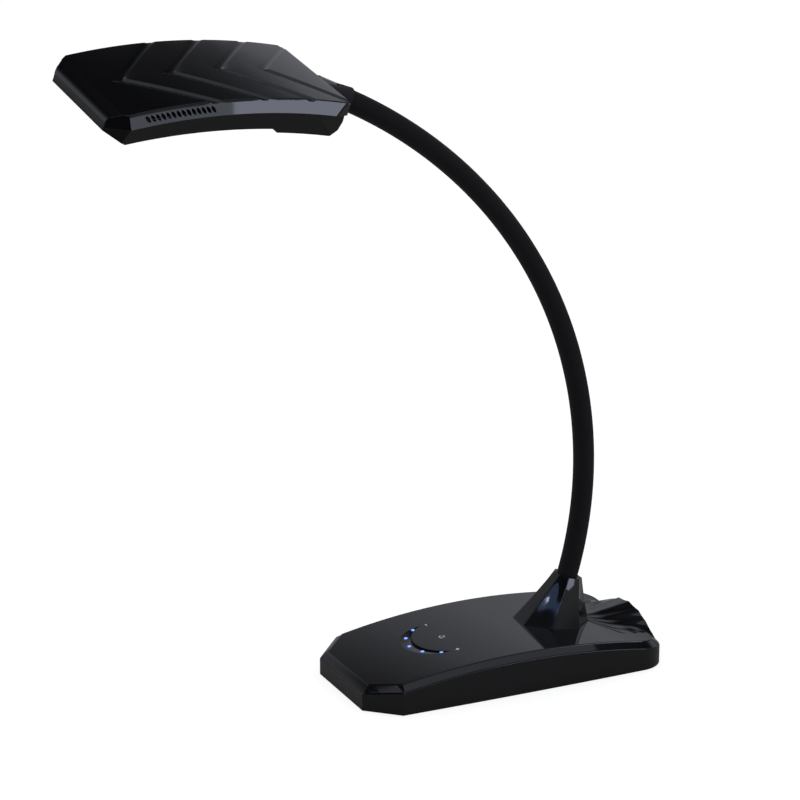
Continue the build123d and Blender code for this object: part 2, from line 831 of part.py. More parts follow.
def on_arch(arch, y):
    """The point of an arch at length y, as Y and Z."""
    radius, centre_z = arch[:2]
    return (y, centre_z + sqrt(radius**2 - y**2))


def arch_curve(arch, start, end):
    """The stretch of an arch between two lengths, as a curve in the open line."""
    return ThreePointArc(*[on_arch(arch, y) for y in (start, (start + end) / 2, end)])


def arch_station(arch, x, y):
    """A place on an arch, square to it and under the length y of the outer arch."""
    radius, centre_z, outer_radius = arch
    lean = -degrees(asin(y / outer_radius))
    return Pos(0, 0, centre_z) * Location((0, 0, 0), (lean, 0, 0)) * Pos(x, 0, radius)


def arch_plate(upper, lower, front, rear, half_width):
    """A plate between two arches, with upright ends and sides."""
    with BuildPart() as plate:
        with BuildSketch(Plane.YZ):
            with BuildLine():
                top = arch_curve(upper, front, rear)
                bottom = arch_curve(lower, rear, front)
                Line(top @ 1, bottom @ 0)
                Line(bottom @ 1, top @ 0)
            make_face()
        extrude(amount=half_width, both=True)
    return plate.part


def arch_columns(places, radius, upper, lower, square_to):
    """Round posts at the places, square to one arch and ending on two others."""
    front = min(y for x, y in places) - head_thickness
    rear = max(y for x, y in places) + head_thickness
    with BuildPart() as posts:
        with Locations(*[arch_station(square_to, x, y) for x, y in places]):
            Cylinder(radius, 4 * head_thickness)
        add(arch_plate(upper, lower, front, rear, 2 * head_side_half), mode=Mode.INTERSECT)
    return posts.part


def head_block(inset):
    """The head's outer form, drawn in by inset on every side."""
    shoulder_y = head_front_y + head_shoulder_length
    waist_y = head_rear_y - head_waist_length
    front_top_z = on_arch(top_arch(0), head_front_y)[1]
    side_slope = (head_side_half - head_top_half) / head_cover_depth
    under_slope = (head_side_half - head_under_half) / (head_thickness - head_cover_depth)
    spare = 10.0
    shift = 0.4 * inset        # what a wall of even thickness moves a bevelled corner
    with BuildPart() as block:
        with BuildSketch(Plane.YZ):
            with BuildLine():
                front, rear = head_front_y + inset, head_rear_y - inset
                top = arch_curve(top_arch(inset), head_front_y + head_top_bevel + shift, rear)
                box = arch_curve(
                    under_arch(inset - under_box_drop), under_box_rear_y - shift,
                    under_box_front_y + shift,
                )
                under = arch_curve(
                    under_arch(inset), under_box_front_y - under_box_drop + shift,
                    head_front_y + head_under_bevel + shift,
                )
                Polyline(
                    top @ 1, (rear, -head_rear_drop), (rear - head_rear_step, shift - head_rear_knee),
                    box @ 0,
                )
                Line(box @ 1, under @ 0)
                Polyline(
                    under @ 1, (front, front_top_z - head_front_drop + shift),
                    (front, front_top_z - head_top_bevel_drop - shift), top @ 0,
                )
            make_face()
        extrude(amount=2 * head_side_half, both=True)
        with BuildSketch(Plane.XY.offset(-head_reach)):
            with BuildLine():
                Polyline(
                    (0, head_front_y), (head_front_half, head_front_y), (head_side_half, shoulder_y),
                    (head_side_half, waist_y), (head_rear_half, head_rear_y), (0, head_rear_y),
                )
                mirror(about=Plane.YZ)
            make_face()
            if inset:
                offset(amount=-inset, kind=Kind.INTERSECTION)
        extrude(amount=2 * head_reach, mode=Mode.INTERSECT)
        with BuildSketch(Plane.XZ) as section:
            half = [
                (head_top_half - spare * side_slope, spare),
                (head_side_half, -head_cover_depth),
                (head_under_half - spare * under_slope, -head_thickness - spare),
            ]
            Polygon(*half, *[(-x, z) for x, z in reversed(half)], align=None)
            if inset:
                offset(amount=-inset, kind=Kind.INTERSECTION)
        revolve(axis=Axis((0, 0, -head_arch_radius), (1, 0, 0)), mode=Mode.INTERSECT)
    return block.part


head_shape = head_block(0)
head_hollow = head_block(head_wall)
above_parting = arch_plate(
    top_arch(-head_thickness), top_arch(head_cover_depth), -head_reach, head_reach, 2 * head_side_half
)

# Roof-like grooves: chevrons whose tips point forward, cut to an even depth in the arch
with BuildPart() as chevrons:
    with BuildSketch(Plane.XY.offset(-head_arch_radius / 2)):
        for tip_y in groove_tips:
            for turn in (groove_sweep, 180 - groove_sweep):
                with Locations(Location((0, tip_y, 0), (0, 0, turn))):
                    Rectangle(2 * head_side_half, groove_width, align=(Align.MIN, Align.CENTER))
    extrude(amount=head_arch_radius)
    add(
        arch_plate(
            top_arch(-1), top_arch(groove_depth), -head_reach, head_reach, 2 * head_side_half
        ),
        mode=Mode.INTERSECT,
    )

vent_places = [
    arch_station(top_arch(vent_drop), side * head_side_half, vent_first_y + i * vent_pitch)
    * Location((0, 0, 0), (vent_slant, 0, 0))
    for i in range(vent_count)
    for side in (-1, 1)
]
with BuildPart() as vents:
    with Locations(*vent_places):
        Box(4 * head_wall, vent_width, vent_height)

# ---------------------------------------------------------------- head shells
head_screws_at = both_sides([(head_side_half - x, head_rear_y - y) for x, y in head_screw_edges])
board_screws_at = both_sides(led_board_screw_places)
boot_floor_depth = neck_tip_depth + slip + ferrule_length
pad_depth = boot_floor_depth + pad_reach
board_rise = head_wall + lens_thickness + reflector_height
spreader_rise = board_rise + led_board_thickness
posts_rise = spreader_rise + spreader_thickness
cover_inner = top_arch(head_wall / 2)
head_top = top_arch(0)
head_underside = under_arch(0)

with BuildPart() as stud_hole:
    with BuildSketch(Plane(neck_in_head)):
        Circle(stud_radius + slip)
    extrude(amount=2 * pad_depth)

with BuildPart() as neck_pad:
    with BuildSketch(Plane(neck_in_head)):
        Circle(pad_radius)
    extrude(amount=pad_depth)
    add(head_shape, mode=Mode.INTERSECT)
    add(stud_hole.part, mode=Mode.SUBTRACT)

with BuildPart() as pad_notch:
    with BuildSketch(Plane(neck_in_head)):
        Circle(pad_radius + slip)
    extrude(amount=pad_depth)
    with BuildSketch(Plane(neck_in_head)):
        Circle(washer_radius + slip)
    extrude(amount=pad_depth + washer_thickness + nut_height + stud_spare)

with BuildPart() as head_cover:
    add(head_shape)
    add(above_parting, mode=Mode.INTERSECT)
    add(head_hollow, mode=Mode.SUBTRACT)
    add(arch_columns(head_screws_at, head_boss_radius, cover_inner, top_arch(post_depth), head_top))
    add(
        arch_columns(
            board_screws_at, head_boss_radius, cover_inner, under_arch(posts_rise), head_underside
        )
    )
    add(
        arch_columns(
            head_screws_at, screw_shank_radius + slip / 4, top_arch(screw_tip_depth - thread_spare),
            top_arch(post_depth + 1), head_top,
        ),
        mode=Mode.SUBTRACT,
    )
    add(
        arch_columns(
            board_screws_at, screw_shank_radius + slip / 4,
            under_arch(board_rise + board_fixing_length + thread_spare), under_arch(posts_rise - 1),
            head_underside,
        ),
        mode=Mode.SUBTRACT,
    )
    add(chevrons.part, mode=Mode.SUBTRACT)
    add(vents.part, mode=Mode.SUBTRACT)
    add(pad_notch.part, mode=Mode.SUBTRACT)

with BuildPart() as housing_posts:
    add(
        arch_columns(
            head_screws_at, head_boss_radius, top_arch(post_depth), under_arch(-under_box_drop - 1),
            head_top,
        )
    )
    add(head_shape, mode=Mode.INTERSECT)

with BuildPart() as head_housing:
    add(head_shape)
    add(above_parting, mode=Mode.SUBTRACT)
    add(head_hollow, mode=Mode.SUBTRACT)
    add(housing_posts.part)
    add(neck_pad.part)
    add(
        arch_columns(
            head_screws_at, screw_head_radius + slip, top_arch(head_screw_seat),
            top_arch(head_thickness + under_box_drop + 2), head_top,
        ),
        mode=Mode.SUBTRACT,
    )
    add(
        arch_columns(
            head_screws_at, screw_shank_radius + slip, top_arch(post_depth - 1),
            top_arch(head_screw_seat + 1), head_top,
        ),
        mode=Mode.SUBTRACT,
    )
    add(stud_hole.part, mode=Mode.SUBTRACT)
    add(
        arch_plate(
            under_arch(head_wall + 1), under_arch(-1),
            lens_front_y + lens_ledge, lens_rear_y - lens_ledge, lens_half - lens_ledge,
        ),
        mode=Mode.SUBTRACT,
    )

head_screws = Compound(
    children=[
        arch_station(top_arch(head_screw_seat), x, y) * screw(head_screw_seat - screw_tip_depth)
        for x, y in head_screws_at
    ]
)

# ---------------------------------------------------------------- light in the head
with BuildPart() as lens:
    add(
        arch_plate(
            under_arch(head_wall + lens_thickness), under_arch(head_wall),
            lens_front_y, lens_rear_y, lens_half,
        )
    )

with BuildPart() as reflector_frame:
    reflector_base = under_arch(head_wall + lens_thickness)
    add(arch_plate(under_arch(board_rise), reflector_base, lens_front_y, lens_rear_y, lens_half))
    add(
        arch_plate(
            under_arch(board_rise + 1), under_arch(head_wall), lens_front_y + reflector_wall,
            lens_rear_y - reflector_wall, lens_half - reflector_wall,
        ),
        mode=Mode.SUBTRACT,
    )

board_holes = arch_columns(
    board_screws_at, screw_shank_radius + slip, under_arch(posts_rise + 1), under_arch(board_rise - 1),
    head_underside,
)
with BuildPart() as led_board:
    add(
        arch_plate(
            under_arch(spreader_rise), under_arch(board_rise), lens_front_y, lens_rear_y, lens_half
        )
    )
    add(board_holes, mode=Mode.SUBTRACT)

with BuildPart() as heat_spreader:
    add(
        arch_plate(
            under_arch(posts_rise), under_arch(spreader_rise), lens_front_y + spreader_border,
            lens_rear_y - spreader_border, lens_half - spreader_border,
        )
    )
    add(board_holes, mode=Mode.SUBTRACT)

with BuildPart() as led_chips:
    led_middle_y = (lens_front_y + lens_rear_y) / 2
    with Locations(
        *[
            arch_station(
                under_arch(board_rise - led_height / 2 - slip / 4),
                (column - (led_columns - 1) / 2) * led_column_pitch,
                led_middle_y + (row - (led_rows - 1) / 2) * led_row_pitch,
            )
            for row in range(led_rows)
            for column in range(led_columns)
        ]
    ):
        Box(led_length, led_width, led_height)

board_fixings = Compound(
    children=[
        arch_station(under_arch(board_rise), x, y) * screw(board_fixing_length)
        for x, y in board_screws_at
    ]
)

# ---------------------------------------------------------------- boot and neck fixings
with BuildPart() as neck_boot:
    with BuildSketch(Plane.XZ.offset(-head_rear_y + boot_root_sink)):
        with Locations((0, -boot_root_drop)):
            RectangleRounded(2 * boot_half_width, 2 * boot_half_height, boot_corner)
    with BuildSketch(Plane(neck_in_head * Pos(0, 0, -boot_overhang) * Location((0, 0, 0), (180, 0, 0)))):
        RectangleRounded(2 * boot_mouth_half, 2 * boot_mouth_half, boot_mouth_corner)
    loft()
    add(head_shape, mode=Mode.SUBTRACT)
    with BuildSketch(Plane(neck_in_head * Pos(0, 0, -boot_overhang - 1))):
        Circle(bore_radius)
    extrude(amount=boot_overhang + 1 + boot_floor_depth, mode=Mode.SUBTRACT)
    add(stud_hole.part, mode=Mode.SUBTRACT)

tip_facing = neck_mouth * Location((0, 0, 0), (180, 0, 0))
tip_stud = pad_reach + washer_thickness + nut_height + stud_spare
neck_tip_ferrule = tip_facing * Pos(0, 0, -neck_tip_depth - slip) * ferrule(tip_stud)
neck_tip_ferrule.label = "neck_tip_ferrule"
neck_tip_washer = tip_facing * Pos(0, 0, -pad_depth) * stud_washer.part
neck_tip_washer.label = "neck_tip_washer"
neck_tip_nut = tip_facing * Pos(0, 0, -pad_depth - washer_thickness) * stud_nut.part
neck_tip_nut.label = "neck_tip_nut"

# ---------------------------------------------------------------- head pieces into place
head_pieces = []
for name, shape in (
    ("head_cover", head_cover.part), ("head_housing", head_housing.part),
    ("head_screws", head_screws), ("lens", lens.part), ("reflector_frame", reflector_frame.part),
    ("led_board", led_board.part), ("heat_spreader", heat_spreader.part),
    ("led_chips", led_chips.part), ("board_fixings", board_fixings), ("neck_boot", neck_boot.part),
):
    placed = head_place * shape
    placed.label = name
    head_pieces.append(placed)

# ---------------------------------------------------------------- files
for piece in (
    base_housing, base_cover, grip_pad, ballast_plate, control_board, indicator_chips,
    light_guides, touch_crescent, port_board, usb_shell, usb_tongue, power_inlet, inlet_pin,
    pedestal, rear_cowl,
):
    export_step(piece.part, f"parts/{piece.part.label}.step")
for solids in (
    base_screws, control_screws, touch_marks, pedestal_screws, neck_root_ferrule,
    neck_root_washer, neck_root_nut, neck_tip_ferrule, neck_tip_washer, neck_tip_nut,
    *neck_sleeves, *neck_cores, *head_pieces,
):
    export_step(solids, f"parts/{solids.label}.step")
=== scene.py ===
"""Gooseneck desk lamp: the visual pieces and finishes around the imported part."""

import json
import logging
import math
from collections.abc import Iterable, Sequence
from dataclasses import dataclass, field
from enum import Enum

import bmesh
import bpy
from mathutils import Matrix, Vector

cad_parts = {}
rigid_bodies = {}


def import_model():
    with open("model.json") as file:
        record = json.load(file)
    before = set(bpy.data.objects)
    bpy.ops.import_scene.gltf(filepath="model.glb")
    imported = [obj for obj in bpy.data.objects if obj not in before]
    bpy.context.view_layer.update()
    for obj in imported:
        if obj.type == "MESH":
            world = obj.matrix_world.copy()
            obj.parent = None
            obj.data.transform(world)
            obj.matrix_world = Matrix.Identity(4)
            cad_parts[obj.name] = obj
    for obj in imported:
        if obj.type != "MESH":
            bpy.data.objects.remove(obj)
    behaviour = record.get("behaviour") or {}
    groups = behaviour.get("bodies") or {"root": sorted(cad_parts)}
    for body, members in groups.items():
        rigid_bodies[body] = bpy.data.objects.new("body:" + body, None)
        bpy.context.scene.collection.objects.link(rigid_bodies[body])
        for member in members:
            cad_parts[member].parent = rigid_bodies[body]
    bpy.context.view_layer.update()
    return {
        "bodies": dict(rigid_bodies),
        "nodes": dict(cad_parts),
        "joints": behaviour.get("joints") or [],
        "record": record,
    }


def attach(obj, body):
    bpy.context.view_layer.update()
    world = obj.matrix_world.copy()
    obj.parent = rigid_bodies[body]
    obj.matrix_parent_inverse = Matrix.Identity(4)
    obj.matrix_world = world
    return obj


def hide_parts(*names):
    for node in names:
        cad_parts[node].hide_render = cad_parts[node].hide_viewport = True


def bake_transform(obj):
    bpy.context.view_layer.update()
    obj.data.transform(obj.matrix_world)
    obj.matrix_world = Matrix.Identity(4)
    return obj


LOG = logging.getLogger("desk_lamp")
MM = 0.001
WHITE = (1.0, 1.0, 1.0, 1.0)
# Nearly all values of a noise pattern lie between these two.
NOISE_RANGE = (0.3, 0.7)
# Points closer than this are one point, in millimetres: on cut shells and on swept shapes.
WELD = 1e-4
SWEPT_WELD = 1e-3
# How far a cutter reaches past the surface that it opens, in millimetres.
CLEAR = 2.0
# A point this near to an edge of the form counts as on it, in millimetres.
NEAR = 0.1


def linear(hex_colour: str) -> tuple[float, float, float, float]:
    """Turns an sRGB hex colour into linear light.

    Args:
        hex_colour: Six hex digits, with or without a leading #.

    Returns:
        Red, green, blue and an alpha of 1.
    """
    digits = hex_colour.lstrip("#")
    shares = [int(digits[i : i + 2], 16) / 255 for i in (0, 2, 4)]
    red, green, blue = (
        s / 12.92 if s <= 0.04045 else ((s + 0.055) / 1.055) ** 2.4 for s in shares
    )
    return red, green, blue, 1.0


def add_node(
    tree: bpy.types.NodeTree,
    kind: str,
    settings: dict[str | int, object] | None = None,
    links: dict[str | int, bpy.types.NodeSocket] | None = None,
) -> bpy.types.Node:
    """Adds a node with its settings and links.

    Args:
        tree: The node tree it goes into.
        kind: The node's type name.
        settings: Socket values by socket name or number, and node properties by name.
        links: The output that feeds each socket, by socket name or number.

    Returns:
        The new node.
    """
    node = tree.nodes.new(kind)
    for name, value in (settings or {}).items():
        if isinstance(name, int) or name in node.inputs:
            node.inputs[name].default_value = value
        else:
            setattr(node, name, value)
    for name, source in (links or {}).items():
        tree.links.new(source, node.inputs[name])
    return node


def new_tree(name: str) -> tuple[bpy.types.Material, bpy.types.NodeTree, bpy.types.NodeSocket]:
    """Starts an empty node material.

    Args:
        name: The material's name.

    Returns:
        The material, its node tree, and the object coordinates' socket.
    """
    material = bpy.data.materials.new(name)
    material.use_nodes = True
    tree = material.node_tree
    tree.nodes.clear()
    place = add_node(tree, "ShaderNodeTexCoord").outputs["Object"]
    return material, tree, place


def per_metre(size_mm: float) -> float:
    """Noise scale, in cells per metre, for a pattern whose cells are size_mm across."""
    return 1.0 / (size_mm * MM)


# ------------------------------------------------------------------ finishes


@dataclass(frozen=True)
class MouldedPlastic:
    """Injection-moulded ABS or rubber: a body colour, a surface grain and soft unevenness.

    The grain is the tool's own texture, the wave is the slow unevenness of a moulded wall, and
    the smear is how handling makes some areas a little duller.
    """

    name: str
    colour: str
    tone: str
    roughness: float
    smear: float
    grain_mm: float
    grain_height_mm: float
    wave_mm: float = 60.0
    wave_height_mm: float = 0.0
    specular: float = 0.5
    edge_mm: float = 0.0
    sheen: float = 0.0
    smear_mm: float = 45.0

    def make(self) -> bpy.types.Material:
        """Builds the finish as a node material.

        Returns:
            The material.
        """
        material, tree, place = new_tree(self.name)
        smears = add_node(
            tree,
            "ShaderNodeTexNoise",
            {"Scale": per_metre(self.smear_mm), "Detail": 3.0},
            {"Vector": place},
        )
        colour = add_node(
            tree,
            "ShaderNodeMix",
            {"data_type": "RGBA", 6: linear(self.colour), 7: linear(self.tone)},
            {0: smears.outputs["Fac"]},
        )
        rough = add_node(
            tree,
            "ShaderNodeMapRange",
            {
                "From Min": NOISE_RANGE[0],
                "From Max": NOISE_RANGE[1],
                "To Min": max(self.roughness - self.smear, 0.0),
                "To Max": self.roughness + self.smear,
            },
            {"Value": smears.outputs["Fac"]},
        )
        grain = add_node(
            tree,
            "ShaderNodeTexNoise",
            {"Scale": per_metre(self.grain_mm), "Detail": 2.0},
            {"Vector": place},
        )
        normal = add_node(
            tree,
            "ShaderNodeBump",
            {"Strength": 1.0, "Distance": self.grain_height_mm * MM},
            {"Height": grain.outputs["Fac"]},
        )
        if self.edge_mm:
            edge = {"samples": 6, "Radius": self.edge_mm * MM}
            rounded = add_node(tree, "ShaderNodeBevel", edge)
            tree.links.new(rounded.outputs["Normal"], normal.inputs["Normal"])
        if self.wave_height_mm:
            wave = add_node(
                tree,
                "ShaderNodeTexNoise",
                {"Scale": per_metre(self.wave_mm), "Detail": 1.0},
                {"Vector": place},
            )
            normal = add_node(
                tree,
                "ShaderNodeBump",
                {"Strength": 1.0, "Distance": self.wave_height_mm * MM},
                {"Height": wave.outputs["Fac"], "Normal": normal.outputs["Normal"]},
            )
        shader = add_node(
            tree,
            "ShaderNodeBsdfPrincipled",
            {
                "Specular IOR Level": self.specular,
                "Sheen Weight": self.sheen,
                "Sheen Roughness": 0.5,
            },
            {
                "Base Color": colour.outputs[2],
                "Roughness": rough.outputs["Result"],
                "Normal": normal.outputs["Normal"],
            },
        )
        add_node(tree, "ShaderNodeOutputMaterial", {}, {"Surface": shader.outputs["BSDF"]})
        return material


@dataclass(frozen=True)
class WorkedMetal:
    """Metal with a worked surface: stretched marks along one direction over a cloudy tone."""

    name: str
    colour: str
    tone: str
    roughness: float
    mark_mm: float
    stretch: tuple[float, float, float] = (1.0, 1.0, 1.0)
    mark_height_mm: float = 0.01
    roughness_change: float = 0.3

    def make(self) -> bpy.types.Material:
        """Builds the finish as a node material.

        Returns:
            The material.
        """
        material, tree, place = new_tree(self.name)
        turned = add_node(tree, "ShaderNodeMapping", {"Scale": self.stretch}, {"Vector": place})
        marks = add_node(
            tree,
            "ShaderNodeTexNoise",
            {"Scale": per_metre(self.mark_mm), "Detail": 4.0},
            {"Vector": turned.outputs["Vector"]},
        )
        colour = add_node(
            tree,
            "ShaderNodeMix",
            {"data_type": "RGBA", 6: linear(self.colour), 7: linear(self.tone)},
            {0: marks.outputs["Fac"]},
        )
        rough = add_node(
            tree,
            "ShaderNodeMapRange",
            {
                "To Min": self.roughness * (1 - self.roughness_change),
                "To Max": self.roughness * (1 + self.roughness_change),
            },
            {"Value": marks.outputs["Fac"]},
        )
        bump = add_node(
            tree,
            "ShaderNodeBump",
            {"Strength": 1.0, "Distance": self.mark_height_mm * MM},
            {"Height": marks.outputs["Fac"]},
        )
        shader = add_node(
            tree,
            "ShaderNodeBsdfPrincipled",
            {"Metallic": 1.0},
            {
                "Base Color": colour.outputs[2],
                "Roughness": rough.outputs["Result"],
                "Normal": bump.outputs["Normal"],
            },
        )
        add_node(tree, "ShaderNodeOutputMaterial", {}, {"Surface": shader.outputs["BSDF"]})
        return material


@dataclass(frozen=True)
class CircuitBoard:
    """Glass-epoxy board under solder mask: a green coat with the weave and the tracks under it."""

    name: str
    mask: str
    track: str
    track_mm: float
    tracks_per_cell: float = 4.0
    track_share: float = 0.04
    weave_mm: float = 0.5
    weave_height_mm: float = 0.02

    def make(self) -> bpy.types.Material:
        """Builds the finish as a node material.

        Returns:
            The material.
        """
        material, tree, place = new_tree(self.name)
        tracks = add_node(
            tree,
            "ShaderNodeTexBrick",
            {
                "Color1": linear(self.mask),
                "Color2": linear(self.mask),
                "Mortar": linear(self.track),
                "Scale": per_metre(self.track_mm * self.tracks_per_cell),
                "Mortar Size": self.track_share,
            },
            {"Vector": place},
        )
        weave = add_node(
            tree, "ShaderNodeTexNoise", {"Scale": per_metre(self.weave_mm)}, {"Vector": place}
        )
        bump = add_node(
            tree,
            "ShaderNodeBump",
            {"Strength": 0.5, "Distance": self.weave_height_mm * MM},
            {"Height": weave.outputs["Fac"]},
        )
        shader = add_node(
            tree,
            "ShaderNodeBsdfPrincipled",
            {"Roughness": 0.32},
            {"Base Color": tracks.outputs["Color"], "Normal": bump.outputs["Normal"]},
        )
        add_node(tree, "ShaderNodeOutputMaterial", {}, {"Surface": shader.outputs["BSDF"]})
        return material


@dataclass(frozen=True)
class GlowPiece:
    """A lit or pale translucent piece: a body colour, a cloudy tone and a steady glow, which on the
    printed marks is a painted glow.
    """

    name: str
    colour: str
    tone: str
    glow: str
    strength: float
    cloud_mm: float
    roughness: float = 0.35
    skin_height_mm: float = 0.02

    def make(self) -> bpy.types.Material:
        """Builds the finish as a node material.

        Returns:
            The material.
        """
        material, tree, place = new_tree(self.name)
        clouds = add_node(
            tree, "ShaderNodeTexNoise", {"Scale": per_metre(self.cloud_mm)}, {"Vector": place}
        )
        colour = add_node(
            tree,
            "ShaderNodeMix",
            {"data_type": "RGBA", 6: linear(self.colour), 7: linear(self.tone)},
            {0: clouds.outputs["Fac"]},
        )
        bump = add_node(
            tree,
            "ShaderNodeBump",
            {"Strength": 0.4, "Distance": self.skin_height_mm * MM},
            {"Height": clouds.outputs["Fac"]},
        )
        shader = add_node(
            tree,
            "ShaderNodeBsdfPrincipled",
            {
                "Roughness": self.roughness,
                "Emission Color": linear(self.glow),
                "Emission Strength": self.strength,
            },
            {"Base Color": colour.outputs[2], "Normal": bump.outputs["Normal"]},
        )
        add_node(tree, "ShaderNodeOutputMaterial", {}, {"Surface": shader.outputs["BSDF"]})
        return material


@dataclass(frozen=True)
class TouchPanel:
    """Smoked touch panel: near-black acrylic with a painted blue glow round each indicator."""

    name: str
    colour: str
    halo: str
    halo_mm: float
    halo_strength: float
    lights: tuple[tuple[float, float, float], ...]
    tone: str = "101018"
    smoke_mm: float = 9.0

    def make(self) -> bpy.types.Material:
        """Builds the finish as a node material.

        Returns:
            The material.
        """
        material, tree, place = new_tree(self.name)
        smoke = add_node(
            tree, "ShaderNodeTexNoise", {"Scale": per_metre(self.smoke_mm)}, {"Vector": place}
        )
        colour = add_node(
            tree,
            "ShaderNodeMix",
            {"data_type": "RGBA", 6: linear(self.colour), 7: linear(self.tone)},
            {0: smoke.outputs["Fac"]},
        )
        total = None
        # Painted glow: blue emission on the panel that fades out over halo_mm from each indicator,
        # standing in for the indicators' light.
        for light in self.lights:
            away = add_node(
                tree, "ShaderNodeVectorMath", {"operation": "DISTANCE", 1: light}, {0: place}
            )
            near = add_node(
                tree,
                "ShaderNodeMapRange",
                {
                    "interpolation_type": "SMOOTHERSTEP",
                    "From Min": 0.0,
                    "From Max": self.halo_mm * MM,
                    "To Min": self.halo_strength,
                    "To Max": 0.0,
                },
                {"Value": away.outputs["Value"]},
            )
            if total is None:
                total = near.outputs["Result"]
            else:
                both = add_node(
                    tree,
                    "ShaderNodeMath",
                    {"operation": "ADD"},
                    {0: total, 1: near.outputs["Result"]},
                )
                total = both.outputs["Value"]
        shader = add_node(
            tree,
            "ShaderNodeBsdfPrincipled",
            {"Roughness": 0.12, "Emission Color": linear(self.halo)},
            {"Base Color": colour.outputs[2], "Emission Strength": total},
        )
        add_node(tree, "ShaderNodeOutputMaterial", {}, {"Surface": shader.outputs["BSDF"]})
        return material


# Piano-black ABS, moulded and polished: a deep black mirror with a faint orange peel.
PIANO_BLACK = MouldedPlastic(
    name="piano_black_abs",
    colour="040406",
    tone="070709",
    roughness=0.05,
    smear=0.015,
    grain_mm=0.9,
    grain_height_mm=0.0004,
    wave_mm=70.0,
    wave_height_mm=0.01,
    edge_mm=0.3,
)
# The same ABS on the lower shells: a fine spark-eroded grain gives soft, wide highlights. It is
# drawn coarser than the real one, so that it shows.
SATIN_BLACK = MouldedPlastic(
    name="satin_black_abs",
    colour="0a0a0b",
    tone="0e0e10",
    roughness=0.36,
    smear=0.05,
    grain_mm=0.5,
    grain_height_mm=0.008,
    specular=0.35,
    edge_mm=0.5,
)
# Thermoplastic rubber drawn over the gooseneck: almost no shine and a faint skin, which is drawn
# coarser than the real one.
NECK_RUBBER = MouldedPlastic(
    name="drawn_neck_rubber",
    colour="0d0d10",
    tone="131317",
    roughness=0.62,
    smear=0.05,
    grain_mm=0.8,
    grain_height_mm=0.03,
    specular=0.2,
    sheen=0.03,
)
# Moulded rubber of the boot: a shade lighter and smoother than the neck's.
BOOT_RUBBER = MouldedPlastic(
    name="moulded_boot_rubber",
    colour="1e1d22",
    tone="26252a",
    roughness=0.6,
    smear=0.05,
    grain_mm=0.6,
    grain_height_mm=0.02,
    specular=0.15,
    sheen=0.02,
)
# Moulded grip rubber under the base: dull, with a coarse pebble.
PAD_RUBBER = MouldedPlastic(
    name="pebbled_grip_rubber",
    colour="151515",
    tone="202020",
    roughness=0.8,
    smear=0.05,
    grain_mm=1.6,
    grain_height_mm=0.12,
    specular=0.25,
)
# Black glass-filled nylon of the sockets: dry and slightly mottled.
SOCKET_NYLON = MouldedPlastic("glass_filled_nylon", "121212", "1c1c1c", 0.5, 0.06, 0.4, 0.02)
# White styrene of the reflector: soft gloss.
REFLECTOR_WHITE = MouldedPlastic("reflector_styrene", "e4e4e0", "f2f2ee", 0.3, 0.05, 0.8, 0.01)
# Zinc-plated screws and nuts: bright with a cloudy plating.
ZINC_STEEL = WorkedMetal("zinc_plated_steel", "a9adb1", "c6c9cc", 0.3, 1.2)
# Wound spring steel of the gooseneck's core: grey with marks along the winding.
SPRING_STEEL = WorkedMetal(
    "wound_spring_steel", "6d7074", "8b8e92", 0.38, 1.5, (1.0, 1.0, 4.0), 0.04
)
# Grey cast iron: rough, sandy skin.
CAST_IRON = WorkedMetal("grey_cast_iron", "3b3c3e", "56585a", 0.6, 0.9, mark_height_mm=0.15)
# Rolled aluminium of the light board: pale, with marks along its length.
ROLLED_ALUMINIUM = WorkedMetal("rolled_aluminium", "b9bbbd", "cfd1d2", 0.35, 0.8, (1.0, 0.05, 1.0))
# Black anodised aluminium of the heat spreader: so dark that nothing shines through the vents.
BLACK_ANODISED = WorkedMetal(
    "black_anodised_aluminium", "0c0c0e", "141416", 0.5, 0.8, (1.0, 0.05, 1.0)
)
# Nickel-plated socket shell: bright, drawn along its depth.
DRAWN_NICKEL = WorkedMetal("drawn_nickel_shell", "b5b2aa", "cfccc4", 0.22, 0.6, (1.0, 0.08, 1.0))
# Solder mask on glass-epoxy board: a wet-looking green with paler tracks under it.
BOARD_GREEN = CircuitBoard("solder_mask_green", "0f4a2a", "1b6a3e", 1.2)
# Opal acrylic lens, unlit: milky white with a soft gloss.
OPAL_LENS = GlowPiece("opal_acrylic", "e9ebee", "f6f7f8", "ffffff", 0.0, 3.0, 0.3)
# Phosphor of the unlit white chips: a pale, matt yellow.
CHIP_PHOSPHOR = GlowPiece("chip_phosphor", "f0e6b4", "f7efcf", "ffffff", 0.0, 0.6, 0.4)
# Clear acrylic rods lit from below: pale blue points with a polished end.
LIT_ROD = GlowPiece("lit_indicator_rod", "6f97e0", "b4cdff", "5b90ff", 1.0, 0.8, 0.2)
# Blue chips on the touch board: small, saturated and steadily lit.
BLUE_CHIP = GlowPiece("blue_indicator_chip", "2c59c8", "3f74ff", "3f74ff", 1.0, 0.6)
# Pad-printed ink of the marks: a soft grey, with a faint painted glow that makes it shine though it
# gives no light.
MARK_INK_PAINTED_GLOW = GlowPiece("grey_mark_ink_painted_glow", "a9acb6", "c4c7d0", "c8ccd8", 0.3, 0.5, 0.5)


# ------------------------------------------------------------------ mesh tools


def ring(shape: bmesh.types.BMesh, points: Sequence[Sequence[float]]) -> list[bmesh.types.BMEdge]:
    """Adds a closed loop of edges through the points, and returns its edges."""
    verts = [shape.verts.new(p) for p in points]
    return [shape.edges.new((a, b)) for a, b in zip(verts, verts[1:] + verts[:1])]


def made_verts(result: dict[str, list]) -> list[bmesh.types.BMVert]:
    """The vertices that an extrusion made."""
    return [v for v in result["geom"] if isinstance(v, bmesh.types.BMVert)]


def edges_of(verts: Iterable[bmesh.types.BMVert]) -> list[bmesh.types.BMEdge]:
    """The edges that meet at some vertices, each once."""
    return list(dict.fromkeys(e for v in verts for e in v.link_edges))


def cap(shape: bmesh.types.BMesh, edges: Sequence[bmesh.types.BMEdge]) -> None:
    """Closes a loop with one face."""
    bmesh.ops.contextual_create(shape, geom=list(edges))


